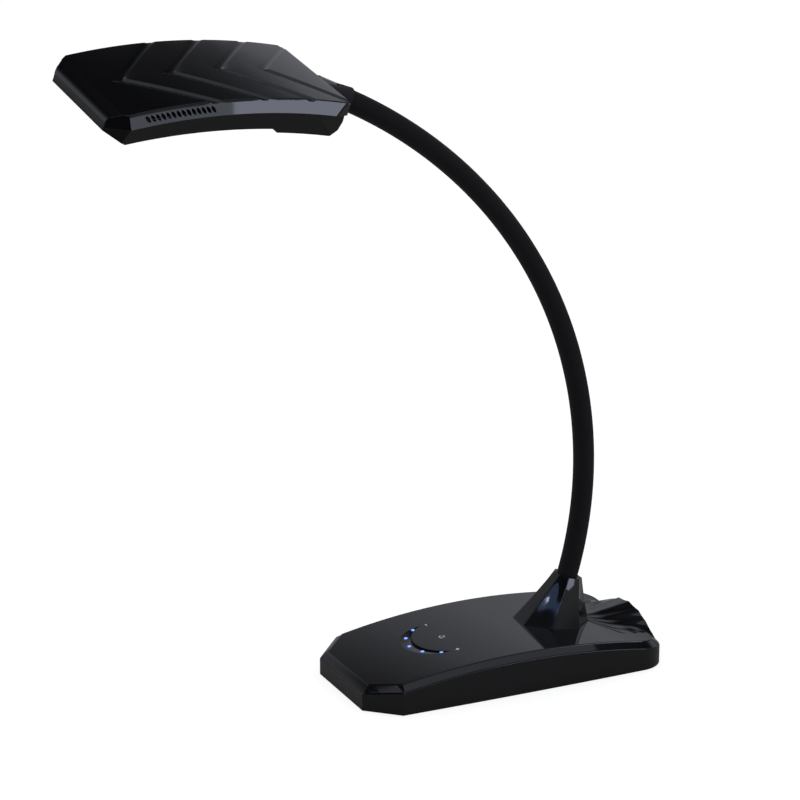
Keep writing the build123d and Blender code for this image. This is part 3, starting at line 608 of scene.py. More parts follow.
def sharp_edges(shape: bmesh.types.BMesh, degrees: float) -> list[bmesh.types.BMEdge]:
    """The edges whose two faces turn by more than an angle."""
    limit = math.radians(degrees)
    return [e for e in shape.edges if len(e.link_faces) == 2 and e.calc_face_angle() > limit]


def round_edges(
    shape: bmesh.types.BMesh, edges: Sequence[bmesh.types.BMEdge], offset: float, segments: int
) -> None:
    """Rounds edges with a bevel of circular section.

    Args:
        shape: The shape that they belong to.
        edges: The edges.
        offset: How far from each edge the rounding starts, in millimetres.
        segments: How many facets the rounding has.
    """
    bmesh.ops.bevel(
        shape,
        geom=list(edges),
        offset=offset,
        segments=segments,
        profile=0.5,
        affect="EDGES",
        material=-1,
        clamp_overlap=True,
    )


def cut_across(shape: bmesh.types.BMesh, axis: int, stations: Iterable[float]) -> None:
    """Adds a line of edges wherever the shape crosses a plane square to an axis.

    Args:
        shape: The shape that gets the edges.
        axis: 0, 1 or 2 for x, y or z.
        stations: Where the planes cross the axis, in millimetres.
    """
    normal = Vector((0.0, 0.0, 0.0))
    normal[axis] = 1.0
    for station in stations:
        bmesh.ops.bisect_plane(
            shape,
            geom=[*shape.verts, *shape.edges, *shape.faces],
            plane_co=normal * station,
            plane_no=normal,
        )


def spread(start: float, end: float, step: float) -> list[float]:
    """Evenly spaced places between two ends, without the ends, about a step apart."""
    count = max(int(round(abs(end - start) / step)), 1)
    return [start + (end - start) * i / count for i in range(1, count)]


def loose_object(name: str, shape: bmesh.types.BMesh) -> bpy.types.Object:
    """Puts a bmesh into a new object in the scene, and frees the bmesh.

    Args:
        name: The object's name.
        shape: The shape, which is freed.

    Returns:
        The new object.
    """
    mesh = bpy.data.meshes.new(name)
    shape.to_mesh(mesh)
    shape.free()
    made = bpy.data.objects.new(name, mesh)
    bpy.context.scene.collection.objects.link(made)
    return made


def modified(
    shape: bmesh.types.BMesh,
    kind: str,
    settings: dict[str, object],
    cutter: bmesh.types.BMesh | None = None,
) -> bmesh.types.BMesh:
    """Runs one modifier on a shape.

    Args:
        shape: The shape to change, which is freed.
        kind: The modifier's type.
        settings: Its properties by name.
        cutter: The second shape of a Boolean, which is freed.

    Returns:
        The changed shape.
    """
    work = loose_object("work", shape)
    modifier = work.modifiers.new("work", kind)
    for name, value in settings.items():
        setattr(modifier, name, value)
    tool = None
    if cutter is not None:
        tool = loose_object("tool", cutter)
        modifier.object = tool
    graph = bpy.context.evaluated_depsgraph_get()
    graph.update()
    mesh = bpy.data.meshes.new_from_object(work.evaluated_get(graph))
    changed = bmesh.new()
    changed.from_mesh(mesh)
    bpy.data.meshes.remove(mesh)
    for spent in (work, tool):
        if spent is not None:
            data = spent.data
            bpy.data.objects.remove(spent)
            bpy.data.meshes.remove(data)
    return changed


def subtract(shape: bmesh.types.BMesh, cutter: bmesh.types.BMesh) -> bmesh.types.BMesh:
    """Cuts one closed shape out of another, and returns what is left."""
    bmesh.ops.recalc_face_normals(cutter, faces=cutter.faces)
    return modified(shape, "BOOLEAN", {"operation": "DIFFERENCE", "solver": "EXACT"}, cutter)


def walled(shape: bmesh.types.BMesh, wall: float) -> bmesh.types.BMesh:
    """Gives an open skin a wall on its inner side.

    Args:
        shape: The skin, which is freed.
        wall: The wall's thickness, in millimetres.

    Returns:
        The skin with its wall.
    """
    bmesh.ops.remove_doubles(shape, verts=shape.verts, dist=WELD)
    bmesh.ops.recalc_face_normals(shape, faces=shape.faces)
    inwards = {"thickness": wall, "offset": -1.0, "use_even_offset": True}
    return modified(shape, "SOLIDIFY", inwards)


def finish_piece(
    name: str,
    shape: bmesh.types.BMesh,
    material: bpy.types.Material,
    place: Matrix | None = None,
    crease: float = 34.0,
) -> bpy.types.Object:
    """Turns a shape in millimetres into a shaded piece whose object sits at the origin.

    Args:
        name: The piece's name.
        shape: The shape, which is freed.
        material: Its finish.
        place: Where the shape goes in the shared frame, in millimetres, if it isn't there yet.
        crease: Edges that turn by more than this many degrees stay sharp.

    Returns:
        The new object.
    """
    to_frame = Matrix.Scale(MM, 4) @ (place or Matrix.Identity(4))
    bmesh.ops.transform(shape, matrix=to_frame, verts=shape.verts)
    piece = loose_object(name, shape)
    mesh = piece.data
    mesh.polygons.foreach_set("use_smooth", [True] * len(mesh.polygons))
    mesh.set_sharp_from_angle(angle=math.radians(crease))
    mesh.materials.clear()
    mesh.materials.append(material)
    shading = piece.modifiers.new("face_weight", "WEIGHTED_NORMAL")
    shading.keep_sharp = True
    LOG.info("%s: %d faces", name, len(mesh.polygons))
    return piece


# ------------------------------------------------------------------ the lamp's own lines


@dataclass(frozen=True)
class BaseForm:
    """The base's footprint and its side view arch, in millimetres."""

    length: float = 246.0
    front_half: float = 37.5
    shoulder_half: float = 59.0
    shoulder_length: float = 23.0
    side_half: float = 63.0
    side_bow: float = 1.29
    corner_radius: float = 22.0
    rim_crown: float = 25.9
    rim_drop: float = 13.07
    bevel_inset: float = 6.0
    bevel_rise: float = 5.0

    @property
    def rear(self) -> float:
        """Length at which the base ends."""
        return self.length / 2

    @property
    def shoulder_y(self) -> float:
        """Length at which the front corners end."""
        return self.shoulder_length - self.rear

    def sag(self, y: float) -> float:
        """How far the side view arch lies below its middle at a length."""
        radius = (self.rear**2 + self.rim_drop**2) / (2 * self.rim_drop)
        return radius - math.sqrt(radius**2 - y**2)

    def top(self, y: float) -> float:
        """Height of the base's top at a length."""
        return self.rim_crown + self.bevel_rise - self.sag(y)

    def bow(self, y: float) -> float:
        """How far the side bulges out of its straight line at a length."""
        share = (y - self.shoulder_y) / (self.rear - self.shoulder_y)
        return self.side_bow * 4 * share * (1 - share) if 0 < share < 1 else 0.0


@dataclass(frozen=True)
class NeckLine:
    """The gooseneck's centre line: a chain of arcs from the base over eight joints to the head."""

    root: tuple[float, float, float] = (0.0, 67.6, 62.0)
    lean: float = 16.7
    root_bend_radius: float = 289.0
    tip_bend_radius: float = 379.0
    free_length: float = 463.0
    joints: int = 8
    end_share: float = 0.06

    def turn(self, length: float) -> float:
        """Degrees that the neck has turned forward after a length along it."""
        change = (1 / self.tip_bend_radius - 1 / self.root_bend_radius) / (2 * self.free_length)
        return math.degrees(length / self.root_bend_radius + change * length**2)

    def lengths(self) -> list[float]:
        """Lengths along the neck of its root, each joint and its tip.

        Returns:
            The lengths in order, in millimetres.
        """
        end = self.end_share * self.free_length
        pitch = (self.free_length - 2 * end) / (self.joints - 1)
        return [0.0, *(end + i * pitch for i in range(self.joints)), self.free_length]

    def arc(self, index: int) -> tuple[float, float]:
        """Length and degrees of turn of one arc of the neck."""
        start, end = self.lengths()[index : index + 2]
        return end - start, self.turn(end) - self.turn(start)

    def frames(self) -> list[Matrix]:
        """The neck's frame at its root, each joint and its tip.

        Returns:
            The frames in order, in millimetres, with Z along the neck.
        """
        lean = Matrix.Rotation(math.radians(-self.lean), 4, "X")
        frames = [Matrix.Translation(self.root) @ lean]
        for index in range(self.joints + 1):
            length, turn = self.arc(index)
            angle = math.radians(turn)
            bend = length / angle
            step = Matrix.Translation((0.0, bend * (math.cos(angle) - 1), bend * math.sin(angle)))
            frames.append(frames[-1] @ step @ Matrix.Rotation(angle, 4, "X"))
        return frames


@dataclass(frozen=True)
class HeadForm:
    """The head's sizes in its own frame, whose origin lies on its top, close to the rear edge."""

    droop: float = 13.3
    roll: float = 10.9
    yaw: float = 3.8
    mount_drop: float = 15.1
    mount_reach: float = 30.6
    arch_radius: float = 444.0
    top_half: float = 57.0
    side_half: float = 60.2
    front_half: float = 46.0
    front_y: float = -166.5
    rear_y: float = 2.5
    shoulder_length: float = 12.5
    cover_depth: float = 9.5
    wall: float = 2.0

    def place(self, neck: NeckLine) -> Matrix:
        """The head's frame in the shared frame, in millimetres.

        Args:
            neck: The neck that carries it.

        Returns:
            The matrix from the head's frame to the shared frame.
        """
        mouth = neck.frames()[-1].translation
        heading = neck.turn(neck.free_length) - neck.lean
        pitch = heading - 90 + self.droop
        return (
            Matrix.Translation(mouth)
            @ Matrix.Rotation(math.radians(self.yaw), 4, "Z")
            @ Matrix.Rotation(math.radians(pitch), 4, "X")
            @ Matrix.Rotation(math.radians(self.roll), 4, "Y")
            @ Matrix.Translation((0.0, -self.mount_reach, self.mount_drop))
        )

    def bend(self, shape: bmesh.types.BMesh) -> None:
        """Drops a flat shape, whose top is at z = 0, onto the head's arch.

        Args:
            shape: The shape, in the head's frame.
        """
        for vert in shape.verts:
            reach = self.arch_radius + vert.co.z
            vert.co.z = math.sqrt(reach**2 - vert.co.y**2) - self.arch_radius


# ------------------------------------------------------------------ sub-assemblies


@dataclass
class TouchControls:
    """The crescent slider, its indicator lights and the marks beside it."""

    centre_y: float = -39.5
    outer_radius: float = 26.6
    outer_shift: float = -4.9
    inner_radius: float = 29.1
    inner_shift: float = 7.1
    dish_steps: tuple[tuple[float, float], ...] = ((0.0, 0.35), (0.6, 0.6), (1.0, 1.8))
    dish_sides: int = 32
    dish_wall: float = 0.5
    dish_fade: float = 0.6
    halo_mm: float = 3.2
    halo_strength: float = 0.25
    light_count: int = 5
    light_step: float = 31.5
    light_ring: float = 27.0
    mark_offset: float = 26.3
    mark_depth: float = 0.4
    mark_length: float = 3.0
    mark_width: float = 0.7
    power_radius: float = 1.9
    power_sides: int = 32

    def lights(self, form: BaseForm) -> list[Vector]:
        """The tops of the indicator lights, in millimetres.

        Args:
            form: The base that they stand in.

        Returns:
            Their places from left to right.
        """
        places = []
        for i in range(self.light_count):
            angle = math.radians(self.light_step * (i - (self.light_count - 1) / 2))
            x = self.light_ring * math.sin(angle)
            y = self.centre_y - self.light_ring * math.cos(angle)
            places.append(Vector((x, y, form.top(y))))
        return places

    def arcs(self) -> tuple[list[Vector], list[Vector]]:
        """Points along the crescent's outer and inner arcs, both from its left tip to its right.

        Returns:
            The outer arc's points and the inner arc's points, at height 0.
        """
        outer_y = self.centre_y + self.outer_shift
        inner_y = self.centre_y + self.inner_shift
        apart = inner_y - outer_y
        along = (self.outer_radius**2 - self.inner_radius**2 + apart**2) / (2 * apart)
        arcs = []
        for centre, radius, rise in (
            (outer_y, self.outer_radius, along),
            (inner_y, self.inner_radius, along - apart),
        ):
            tip = math.asin(rise / radius)
            points = []
            for side in range(self.dish_sides + 1):
                turn = math.pi - tip + (math.pi + 2 * tip) * side / self.dish_sides
                across, along_y = radius * math.cos(turn), radius * math.sin(turn)
                points.append(Vector((across, centre + along_y, 0.0)))
            arcs.append(points)
        return arcs[0], arcs[1]

    def crescent(self, floor: float, top: float) -> bmesh.types.BMesh:
        """A column over the crescent's outline, between two heights.

        Args:
            floor: The column's lower end, in millimetres.
            top: Its upper end, in millimetres.

        Returns:
            The column, flat as the base is before it is arched.
        """
        shape = bmesh.new()
        outer, inner = self.arcs()
        edges = ring(shape, [(v.x, v.y, floor) for v in [*outer, *inner[-2:0:-1]]])
        cap(shape, edges)
        grown = bmesh.ops.extrude_face_region(shape, geom=list(shape.faces))
        bmesh.ops.translate(shape, verts=made_verts(grown), vec=(0.0, 0.0, top - floor))
        return shape

    def slide(self, form: BaseForm) -> bpy.types.Object:
        """The slider's dish: a ledge under the lights that falls to a trough on its inner side.

        Args:
            form: The base that it lies in.

        Returns:
            The dressed piece.
        """
        shape = bmesh.new()
        rows = len(self.dish_steps) - 1
        bmesh.ops.create_grid(shape, x_segments=self.dish_sides, y_segments=rows, size=0.5)
        outer, inner = self.arcs()
        shallow = self.dish_steps[0][1]
        for vert in shape.verts:
            column = round((vert.co.x + 0.5) * self.dish_sides)
            share, depth = self.dish_steps[round((vert.co.y + 0.5) * rows)]
            fade = 0.0
            if 0 < column < self.dish_sides:
                fade = math.sin(math.pi * column / self.dish_sides) ** self.dish_fade
            place = outer[column].lerp(inner[column], share)
            vert.co = (place.x, place.y, form.top(place.y) - shallow - (depth - shallow) * fade)
        bmesh.ops.remove_doubles(shape, verts=shape.verts, dist=SWEPT_WELD)
        grown = bmesh.ops.extrude_face_region(shape, geom=list(shape.faces))
        bmesh.ops.translate(shape, verts=made_verts(grown), vec=(0.0, 0.0, -self.dish_wall))
        bmesh.ops.recalc_face_normals(shape, faces=shape.faces)
        lights = tuple(tuple(v * MM for v in place) for place in self.lights(form))
        # Smoked acrylic, polished: black, with a painted blue glow round each light.
        panel = TouchPanel(
            name="smoked_touch_panel",
            colour="0a090f",
            halo="2f6dff",
            halo_mm=self.halo_mm,
            halo_strength=self.halo_strength,
            lights=lights,
        )
        piece = finish_piece("touch_slide", shape, panel.make(), crease=40.0)
        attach(piece, "base")
        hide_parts("touch_crescent")
        return piece

    def dress(self, nodes: dict[str, bpy.types.Object], form: BaseForm) -> None:
        """Builds the slider and gives the carried-over control pieces their finishes.

        Args:
            nodes: The carried-over nodes by name.
            form: The base that they belong to.
        """
        self.slide(form)
        finishes = {
            "light_guides": LIT_ROD.make(),
            "indicator_chips": BLUE_CHIP.make(),
            "touch_marks": MARK_INK_PAINTED_GLOW.make(),
            "control_board": BOARD_GREEN.make(),
        }
        dress_nodes(nodes, finishes)


def dress_nodes(
    nodes: dict[str, bpy.types.Object], finishes: dict[str, bpy.types.Material]
) -> None:
    """Gives carried-over nodes their finishes by assigning to their material slots.

    Args:
        nodes: The carried-over nodes by name.
        finishes: The material of each node that is dressed, by the node's name.
    """
    for name, material in finishes.items():
        node = nodes[name]
        if not node.material_slots:
            node.data.materials.append(material)
        for slot in node.material_slots:
            slot.material = material
        LOG.info("%s: %s", name, material.name)


@dataclass
class Base:
    """The weighted base: its glossy top, its satin housing and what the housing holds."""

    form: BaseForm = field(default_factory=BaseForm)
    controls: TouchControls = field(default_factory=TouchControls)
    wall: float = 2.5
    lip: float = 0.9
    rounding: float = 0.8
    rounding_facets: int = 3
    rim_angle: float = 20.0
    rim_reach: float = 0.01
    corner_facets: int = 12
    step: float = 0.8
    step_lean: float = 0.3
    step_rounding: float = 0.25
    opening_floor: float = 0.5
    strip: float = 5.0

    def outline(self, shape: bmesh.types.BMesh) -> None:
        """Draws the footprint as one face with round rear corners.

        Args:
            shape: The empty shape that gets the face.
        """
        form = self.form
        half = [
            (form.front_half, -form.rear),
            (form.shoulder_half, form.shoulder_y),
            (form.side_half, form.rear),
        ]
        points = [(x, y, 0.0) for x, y in half] + [(-x, y, 0.0) for x, y in reversed(half)]
        cap(shape, ring(shape, points))
        corners = [v for v in shape.verts if v.co.y > form.rear - NEAR]
        bmesh.ops.bevel(
            shape,
            geom=corners,
            offset=form.corner_radius,
            segments=self.corner_facets,
            profile=0.5,
            affect="VERTICES",
            material=-1,
            clamp_overlap=True,
        )

    def top_shell(self, material: bpy.types.Material) -> bpy.types.Object:
        """The glossy upper shell: an arched top, a bevelled rim and the crescent's opening.

        Args:
            material: Its finish.

        Returns:
            The dressed piece.
        """
        form = self.form
        shape = bmesh.new()
        self.outline(shape)
        bmesh.ops.recalc_face_normals(shape, faces=shape.faces)
        floor = list(shape.faces)[0]
        if floor.normal.z < 0:
            floor.normal_flip()
        grown = bmesh.ops.extrude_face_region(shape, geom=[floor])
        top = [f for f in grown["geom"] if isinstance(f, bmesh.types.BMFace)]
        bmesh.ops.translate(shape, verts=made_verts(grown), vec=(0.0, 0.0, self.lip))
        bottom = [f for f in shape.faces if f.normal.z < -0.5]
        bmesh.ops.delete(shape, geom=bottom, context="FACES")
        slope = form.bevel_rise - self.lip - self.step
        inset = form.bevel_inset - self.step_lean
        bmesh.ops.inset_region(shape, faces=top, thickness=inset, depth=slope, use_even_offset=True)
        bmesh.ops.inset_region(
            shape, faces=top, thickness=self.step_lean, depth=self.step, use_even_offset=True
        )
        for height, radius in ((self.lip, self.rounding), (form.bevel_rise, self.step_rounding)):
            rims = [
                e
                for e in sharp_edges(shape, self.rim_angle)
                if all(abs(v.co.z - height) < self.rim_reach for v in e.verts)
            ]
            round_edges(shape, rims, radius, self.rounding_facets)
        shape = walled(shape, self.wall)
        peak = form.bevel_rise
        shape = subtract(shape, self.controls.crescent(self.opening_floor, peak + CLEAR))
        for cutter in self.mark_cutters(peak):
            shape = subtract(shape, cutter)
        cut_across(shape, 1, spread(-form.rear, form.rear, self.strip))
        for vert in shape.verts:
            if abs(vert.co.x) > form.front_half:
                vert.co.x += math.copysign(form.bow(vert.co.y), vert.co.x)
            vert.co.z += form.rim_crown - form.sag(vert.co.y)
        piece = finish_piece("base_top_shell", shape, material)
        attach(piece, "base")
        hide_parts("base_cover")
        return piece

    def mark_cutters(self, peak: float) -> list[bmesh.types.BMesh]:
        """Pockets for the inlaid marks: the power ring and stroke, the minus and the plus.

        Args:
            peak: Height of the flat top that they are cut into, in millimetres.

        Returns:
            One closed cutter for each bar and one for the ring.
        """
        controls = self.controls
        low, high = peak - controls.mark_depth, peak + CLEAR
        aside, centre_y = controls.mark_offset, controls.centre_y
        long, thin = controls.mark_length, controls.mark_width
        boxes = [
            (-aside, centre_y, long, thin),
            (aside, centre_y, long, thin),
            (aside, centre_y, thin, long),
            (0.0, centre_y + controls.power_radius, thin, 3 * thin),
        ]
        cutters = []
        for x, y, width, length in boxes:
            cutter = bmesh.new()
            bmesh.ops.create_cube(cutter, size=1.0)
            bmesh.ops.scale(cutter, verts=cutter.verts, vec=(width, length, high - low))
            bmesh.ops.translate(cutter, verts=cutter.verts, vec=(x, y, (low + high) / 2))
            cutters.append(cutter)
        tube = bmesh.new()
        loops = []
        outer = controls.power_radius + thin / 2
        inner = controls.power_radius - thin / 2
        for radius, height in ((outer, low), (outer, high), (inner, high), (inner, low)):
            made = bmesh.ops.create_circle(
                tube, radius=radius, segments=controls.power_sides
            )["verts"]
            bmesh.ops.translate(tube, verts=made, vec=(0.0, centre_y, height))
            loops.append(edges_of(made))
        for first, second in zip(loops, loops[1:] + loops[:1]):
            bmesh.ops.bridge_loops(tube, edges=first + second)
        cutters.append(tube)
        return cutters

    def dress(self, nodes: dict[str, bpy.types.Object]) -> None:
        """Gives the housing and what it holds their finishes.

        Args:
            nodes: The carried-over nodes by name.
        """
        zinc = ZINC_STEEL.make()
        nylon = SOCKET_NYLON.make()
        finishes = {
            "base_housing": SATIN_BLACK.make(),
            "grip_pad": PAD_RUBBER.make(),
            "ballast_plate": CAST_IRON.make(),
            "port_board": BOARD_GREEN.make(),
            "usb_shell": DRAWN_NICKEL.make(),
            "usb_tongue": nylon,
            "power_inlet": nylon,
            "inlet_pin": zinc,
            "base_screws": zinc,
            "control_screws": zinc,
            "pedestal_screws": zinc,
        }
        dress_nodes(nodes, finishes)


@dataclass
class Pedestal:
    """The faceted cone that the neck stands in, in millimetres."""

    foot: tuple[tuple[float, float], ...] = ((9.2, 25.2), (23.8, 42.6), (27.6, 64.0), (11.6, 80.5))
    collar_apothem: float = 11.0
    collar_front: float = 8.9
    hollow: float = 0.5
    sink: float = 0.6
    bore_radius: float = 8.25
    bore_rim: float = 1.2
    bore_depth: float = 5.0
    ridge: float = 0.35
    ridge_angle: float = 12.0
    ridge_facets: int = 2
    dish_share: float = 0.03
    levels: int = 8
    columns: int = 4

    def cone(
        self, form: BaseForm, neck: NeckLine, material: bpy.types.Material
    ) -> bpy.types.Object:
        """The cone: eight slightly hollow facets between the foot and the collar.

        Args:
            form: The base that it stands on.
            neck: The neck that stands in it.
            material: Its finish.

        Returns:
            The dressed piece.
        """
        shape = bmesh.new()
        corner = self.collar_apothem * math.tan(math.pi / 8)
        flat, front = self.collar_apothem, -self.collar_front
        half_collar = [(corner, front), (flat, -corner), (flat, corner), (corner, flat)]
        collar_place = neck.frames()[0]
        foot = [Vector((x, y, form.top(y) - self.sink)) for x, y in self.foot]
        foot += [Vector((-v.x, v.y, v.z)) for v in reversed(foot)]
        collar = [collar_place @ Vector((x, y, 0.0)) for x, y in half_collar]
        collar += [collar_place @ Vector((-x, y, 0.0)) for x, y in reversed(half_collar)]
        middle = sum(foot, Vector()) / len(foot)
        axis = sum(collar, Vector()) / len(collar) - middle
        loops = []
        for level in range(self.levels + 1):
            share = level / self.levels
            swell = math.sin(math.pi * share)
            centre = middle + axis * share
            corners = []
            for low, high in zip(foot, collar):
                point = low.lerp(high, share)
                corners.append(point + (centre - point).normalized() * self.hollow * swell)
            points = []
            for facet, (here, there) in enumerate(zip(corners, corners[1:] + corners[:1])):
                dish = (there - here).length * self.dish_share * swell * (1 - facet % 2)
                for column in range(self.columns):
                    point = here.lerp(there, column / self.columns)
                    inward = (centre - point).normalized()
                    points.append(point + inward * dish * math.sin(math.pi * column / self.columns))
            loops.append(ring(shape, points))
        for lower, upper in zip(loops, loops[1:]):
            bmesh.ops.bridge_loops(shape, edges=lower + upper)
        cap(shape, loops[-1])
        bmesh.ops.recalc_face_normals(shape, faces=shape.faces)
        lid = [f for f in shape.faces if len(f.verts) > 4]
        bmesh.ops.inset_region(shape, faces=lid, thickness=self.bore_rim)
        for vert in lid[0].verts:
            local = collar_place.inverted() @ vert.co
            around = Vector((local.x, local.y, 0.0)).normalized() * self.bore_radius
            vert.co = collar_place @ around
        sunk = bmesh.ops.extrude_face_region(shape, geom=lid)
        down = collar_place.to_3x3() @ Vector((0.0, 0.0, -self.bore_depth))
        bmesh.ops.translate(shape, verts=made_verts(sunk), vec=down)
        ridges = sharp_edges(shape, self.ridge_angle)
        round_edges(shape, ridges, self.ridge, self.ridge_facets)
        bmesh.ops.recalc_face_normals(shape, faces=shape.faces)
        piece = finish_piece("pedestal_cone", shape, material, crease=22.0)
        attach(piece, "base")
        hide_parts("pedestal")
        return piece


@dataclass
class Fan:
    """The fluted fan from the pedestal to the base's rear edge, over the sockets."""

    front_y: float = 80.8
    arches: tuple[tuple[float, tuple[tuple[float, float], ...]], ...] = (
        (0.0, ((0.0, 0.6), (5.0, 0.5), (8.5, 0.4), (11.0, 0.3), (13.5, 0.2))),
        (0.313, ((0.0, 3.1), (11.0, 2.3), (20.0, 1.6), (30.0, 0.9), (40.0, 0.3))),
        (0.645, ((0.0, 7.2), (13.5, 5.8), (23.5, 3.4), (33.0, 1.2), (42.0, -1.0))),
        (1.0, ((0.0, 12.2), (15.0, 10.0), (26.0, 5.1), (36.5, -1.4), (43.5, -4.8))),
    )
    flute_depth: float = 0.5
    full_panel: float = 10.0
    root: float = 1.4
    rear_gap: float = 0.1
    panel_steps: int = 4
    stations: int = 14

    def arch_at(self, share: float) -> list[tuple[float, float]]:
        """Half the fan's cross-section at a share of its length.

        Args:
            share: 0 at the pedestal, 1 at the base's rear edge.

        Returns:
            Half widths and rises over the base's top, from the middle outwards.
        """
        for (start, low), (end, high) in zip(self.arches, self.arches[1:]):
            if share <= end + 1e-9:
                part = (share - start) / (end - start)
                return [
                    (a + (b - a) * part, c + (d - c) * part) for (a, c), (b, d) in zip(low, high)
                ]
        return list(self.arches[-1][1])

    def section(self, share: float, form: BaseForm) -> list[Vector]:
        """The fluted cross-section at a share of the fan's length.

        Args:
            share: 0 at the pedestal, 1 at the base's rear edge.
            form: The base that the fan lies on.

        Returns:
            Its points from side to side.
        """
        y = self.front_y + share * (form.rear - self.front_y)
        half = self.arch_at(share)
        folds = [(-x, z) for x, z in reversed(half)] + half[1:]
        depth = self.flute_depth * math.sqrt(max(share, 0.0))
        points = []
        for (x0, z0), (x1, z1) in zip(folds, folds[1:]):
            for i in range(self.panel_steps):
                part = i / self.panel_steps
                dip = depth * math.sin(math.pi * part) * min(abs(x1 - x0) / self.full_panel, 1.0)
                height = form.top(y) + z0 + (z1 - z0) * part - dip
                points.append(Vector((x0 + (x1 - x0) * part, y, height)))
        points.append(Vector((folds[-1][0], y, form.top(y) + folds[-1][1])))
        return points

    def build(self, form: BaseForm, material: bpy.types.Material) -> bpy.types.Object:
        """The fan as a closed shape that stands in the base's top.

        Args:
            form: The base that it lies on.
            material: Its finish.

        Returns:
            The dressed piece.
        """
        shape = bmesh.new()
        columns = (len(self.arches[0][1]) * 2 - 2) * self.panel_steps
        bmesh.ops.create_grid(shape, x_segments=columns, y_segments=self.stations, size=0.5)
        sections = [self.section(row / self.stations, form) for row in range(self.stations + 1)]
        for vert in shape.verts:
            column = round((vert.co.x + 0.5) * columns)
            row = round((vert.co.y + 0.5) * self.stations)
            vert.co = sections[row][column]
        rim = [e for e in shape.edges if e.is_boundary]
        grown = bmesh.ops.extrude_edge_only(shape, edges=rim)
        for vert in made_verts(grown):
            top = form.top(vert.co.y)
            at_rear = vert.co.y > form.rear - NEAR
            rear_foot = top - form.bevel_rise + self.rear_gap
            vert.co.z = rear_foot if at_rear else min(top, vert.co.z) - self.root
        bmesh.ops.remove_doubles(shape, verts=shape.verts, dist=WELD)
        under = [e for e in shape.edges if e.is_boundary]
        bmesh.ops.holes_fill(shape, edges=under)
        bmesh.ops.recalc_face_normals(shape, faces=shape.faces)
        piece = finish_piece("rear_fan", shape, material, crease=38.0)
        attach(piece, "base")
        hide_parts("rear_cowl")
        return piece


